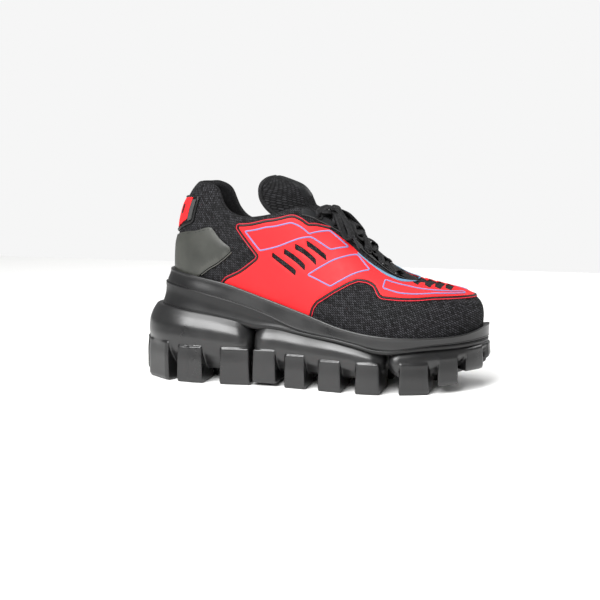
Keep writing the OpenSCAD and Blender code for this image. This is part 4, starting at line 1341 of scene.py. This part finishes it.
# How far off the upper a lace lies at its eyelet and over the throat's edge
LACE_FOOT, LACE_OVER = 2.4, 3.0
# How far the crossings lie above the rows
CROSS_LIFT = 0.9
# Height of the lace over the tongue's middle, by distance from the heel
LACE_CROWN = [[158, 149.5], [171, 141], [184, 131.5], [196, 118.5], [207, 105.5], [215, 96.5]]


def crown_height(x):
    return np.interp(x, *np.transpose(LACE_CROWN))


def lace_line(u, other_u, lift):
    """Lace from an outer eyelet over the tongue to an inner one."""
    (foot, over), (far_foot, far_over) = (
        (skin(row, EYELET_V, LACE_FOOT) * [1, s, 1], skin(row, 1.0, LACE_OVER + lift) * [1, s, 1])
        for row, s in ((u, 1), (other_u, -1)))
    middle_x = (over[0] + far_over[0]) / 2 + 1.5
    crown = np.array([middle_x, 0, crown_height(middle_x) + lift])
    share = np.array([0.5, 0.5, 0.8])
    return curve([foot, over, mix(over, crown, share), crown, mix(far_over, crown, share), far_over,
                  far_foot], 6)


def make_lace_rows():
    pairs = [(u, u, 0.0) for u in EYELET_ROWS]
    for u, next_u in zip(EYELET_ROWS, EYELET_ROWS[1:]):
        pairs += [(u, next_u, CROSS_LIFT), (next_u, u, CROSS_LIFT)]
    lines = [lace_line(*pair) for pair in pairs]
    runs = [tube_object(f"lace_run_{k}", line, lace_ups(line, forward=0.55, roll=40), LACE_W / 2,
                        LACE_T / 2, 14) for k, line in enumerate(lines)]
    dress(joined("lace_lacing", runs), LACE, "lace", "lace_rows")


KNOT = np.array([167.5, 0, 145.2])


def make_knot():
    """A wrap of lace with two strands through it."""
    turn = np.linspace(0, 2 * np.pi, 28, endpoint=False)
    out = np.stack([np.cos(turn), np.zeros(28), np.sin(turn)], 1)
    line = KNOT + out * [4.2, 0, 3.6] + [0, 0.6, 0] * np.sin(turn)[:, None]
    parts = [tube_object("knot_wrap", line, out, LACE_W / 2, LACE_T / 2, 14, closed=True)]
    for s, lean in ((1, 1.6), (-1, -1.6)):
        line = curve([(168.5 + lean, -7.5 * s, 146), (168, -3 * s, 147 + lean),
                      (167, 3 * s, 145.5 - lean), (167 - lean, 7.5 * s, 145.5)], 6)
        ups = np.tile([0.3, 0, 1.0], (len(line), 1))
        parts.append(tube_object("strand", line, ups, 3.0, 1.6, 14))
    dress(joined("bow_knot", parts), LACE, "lace", "lace_knot")


make_lace_rows()
make_knot()

# ---------- sockliner, and the finish of the CAD parts that stay ----------


# Height of the sockliner's face over the footbed, how far its edge cups up, and its thickness
LINER_TOP, LINER_CUP, LINER_T = 7.6, 3.0, 4.2


def make_sockliner():
    """Moulded sockliner that cups up at its edge."""
    columns = 25
    grid = bed_grid(0.06, 70, RIM_WALL + 7.5, columns)
    grid[..., 2] += LINER_TOP + LINER_CUP * np.abs(np.linspace(-1, 1, columns)) ** 4
    liner = thickened(sheet_object("sockliner_pad", grid, flip=True), LINER_T)
    bevelled(liner, 1.2, 3)
    dress(liner, SOCK, "sockliner_textile", "sockliner")


make_sockliner()

KEPT_NODES = {"eyelets": BLACK, "shank_plate": SHANK, "forefoot_filler": CORK,
              "insole_board": BOARD, "heel_stiffener": STIFFENER, "toe_puff": STIFFENER}
for node, material in KEPT_NODES.items():
    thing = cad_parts[node]
    thing.data.materials.clear()
    thing.data.materials.append(material)
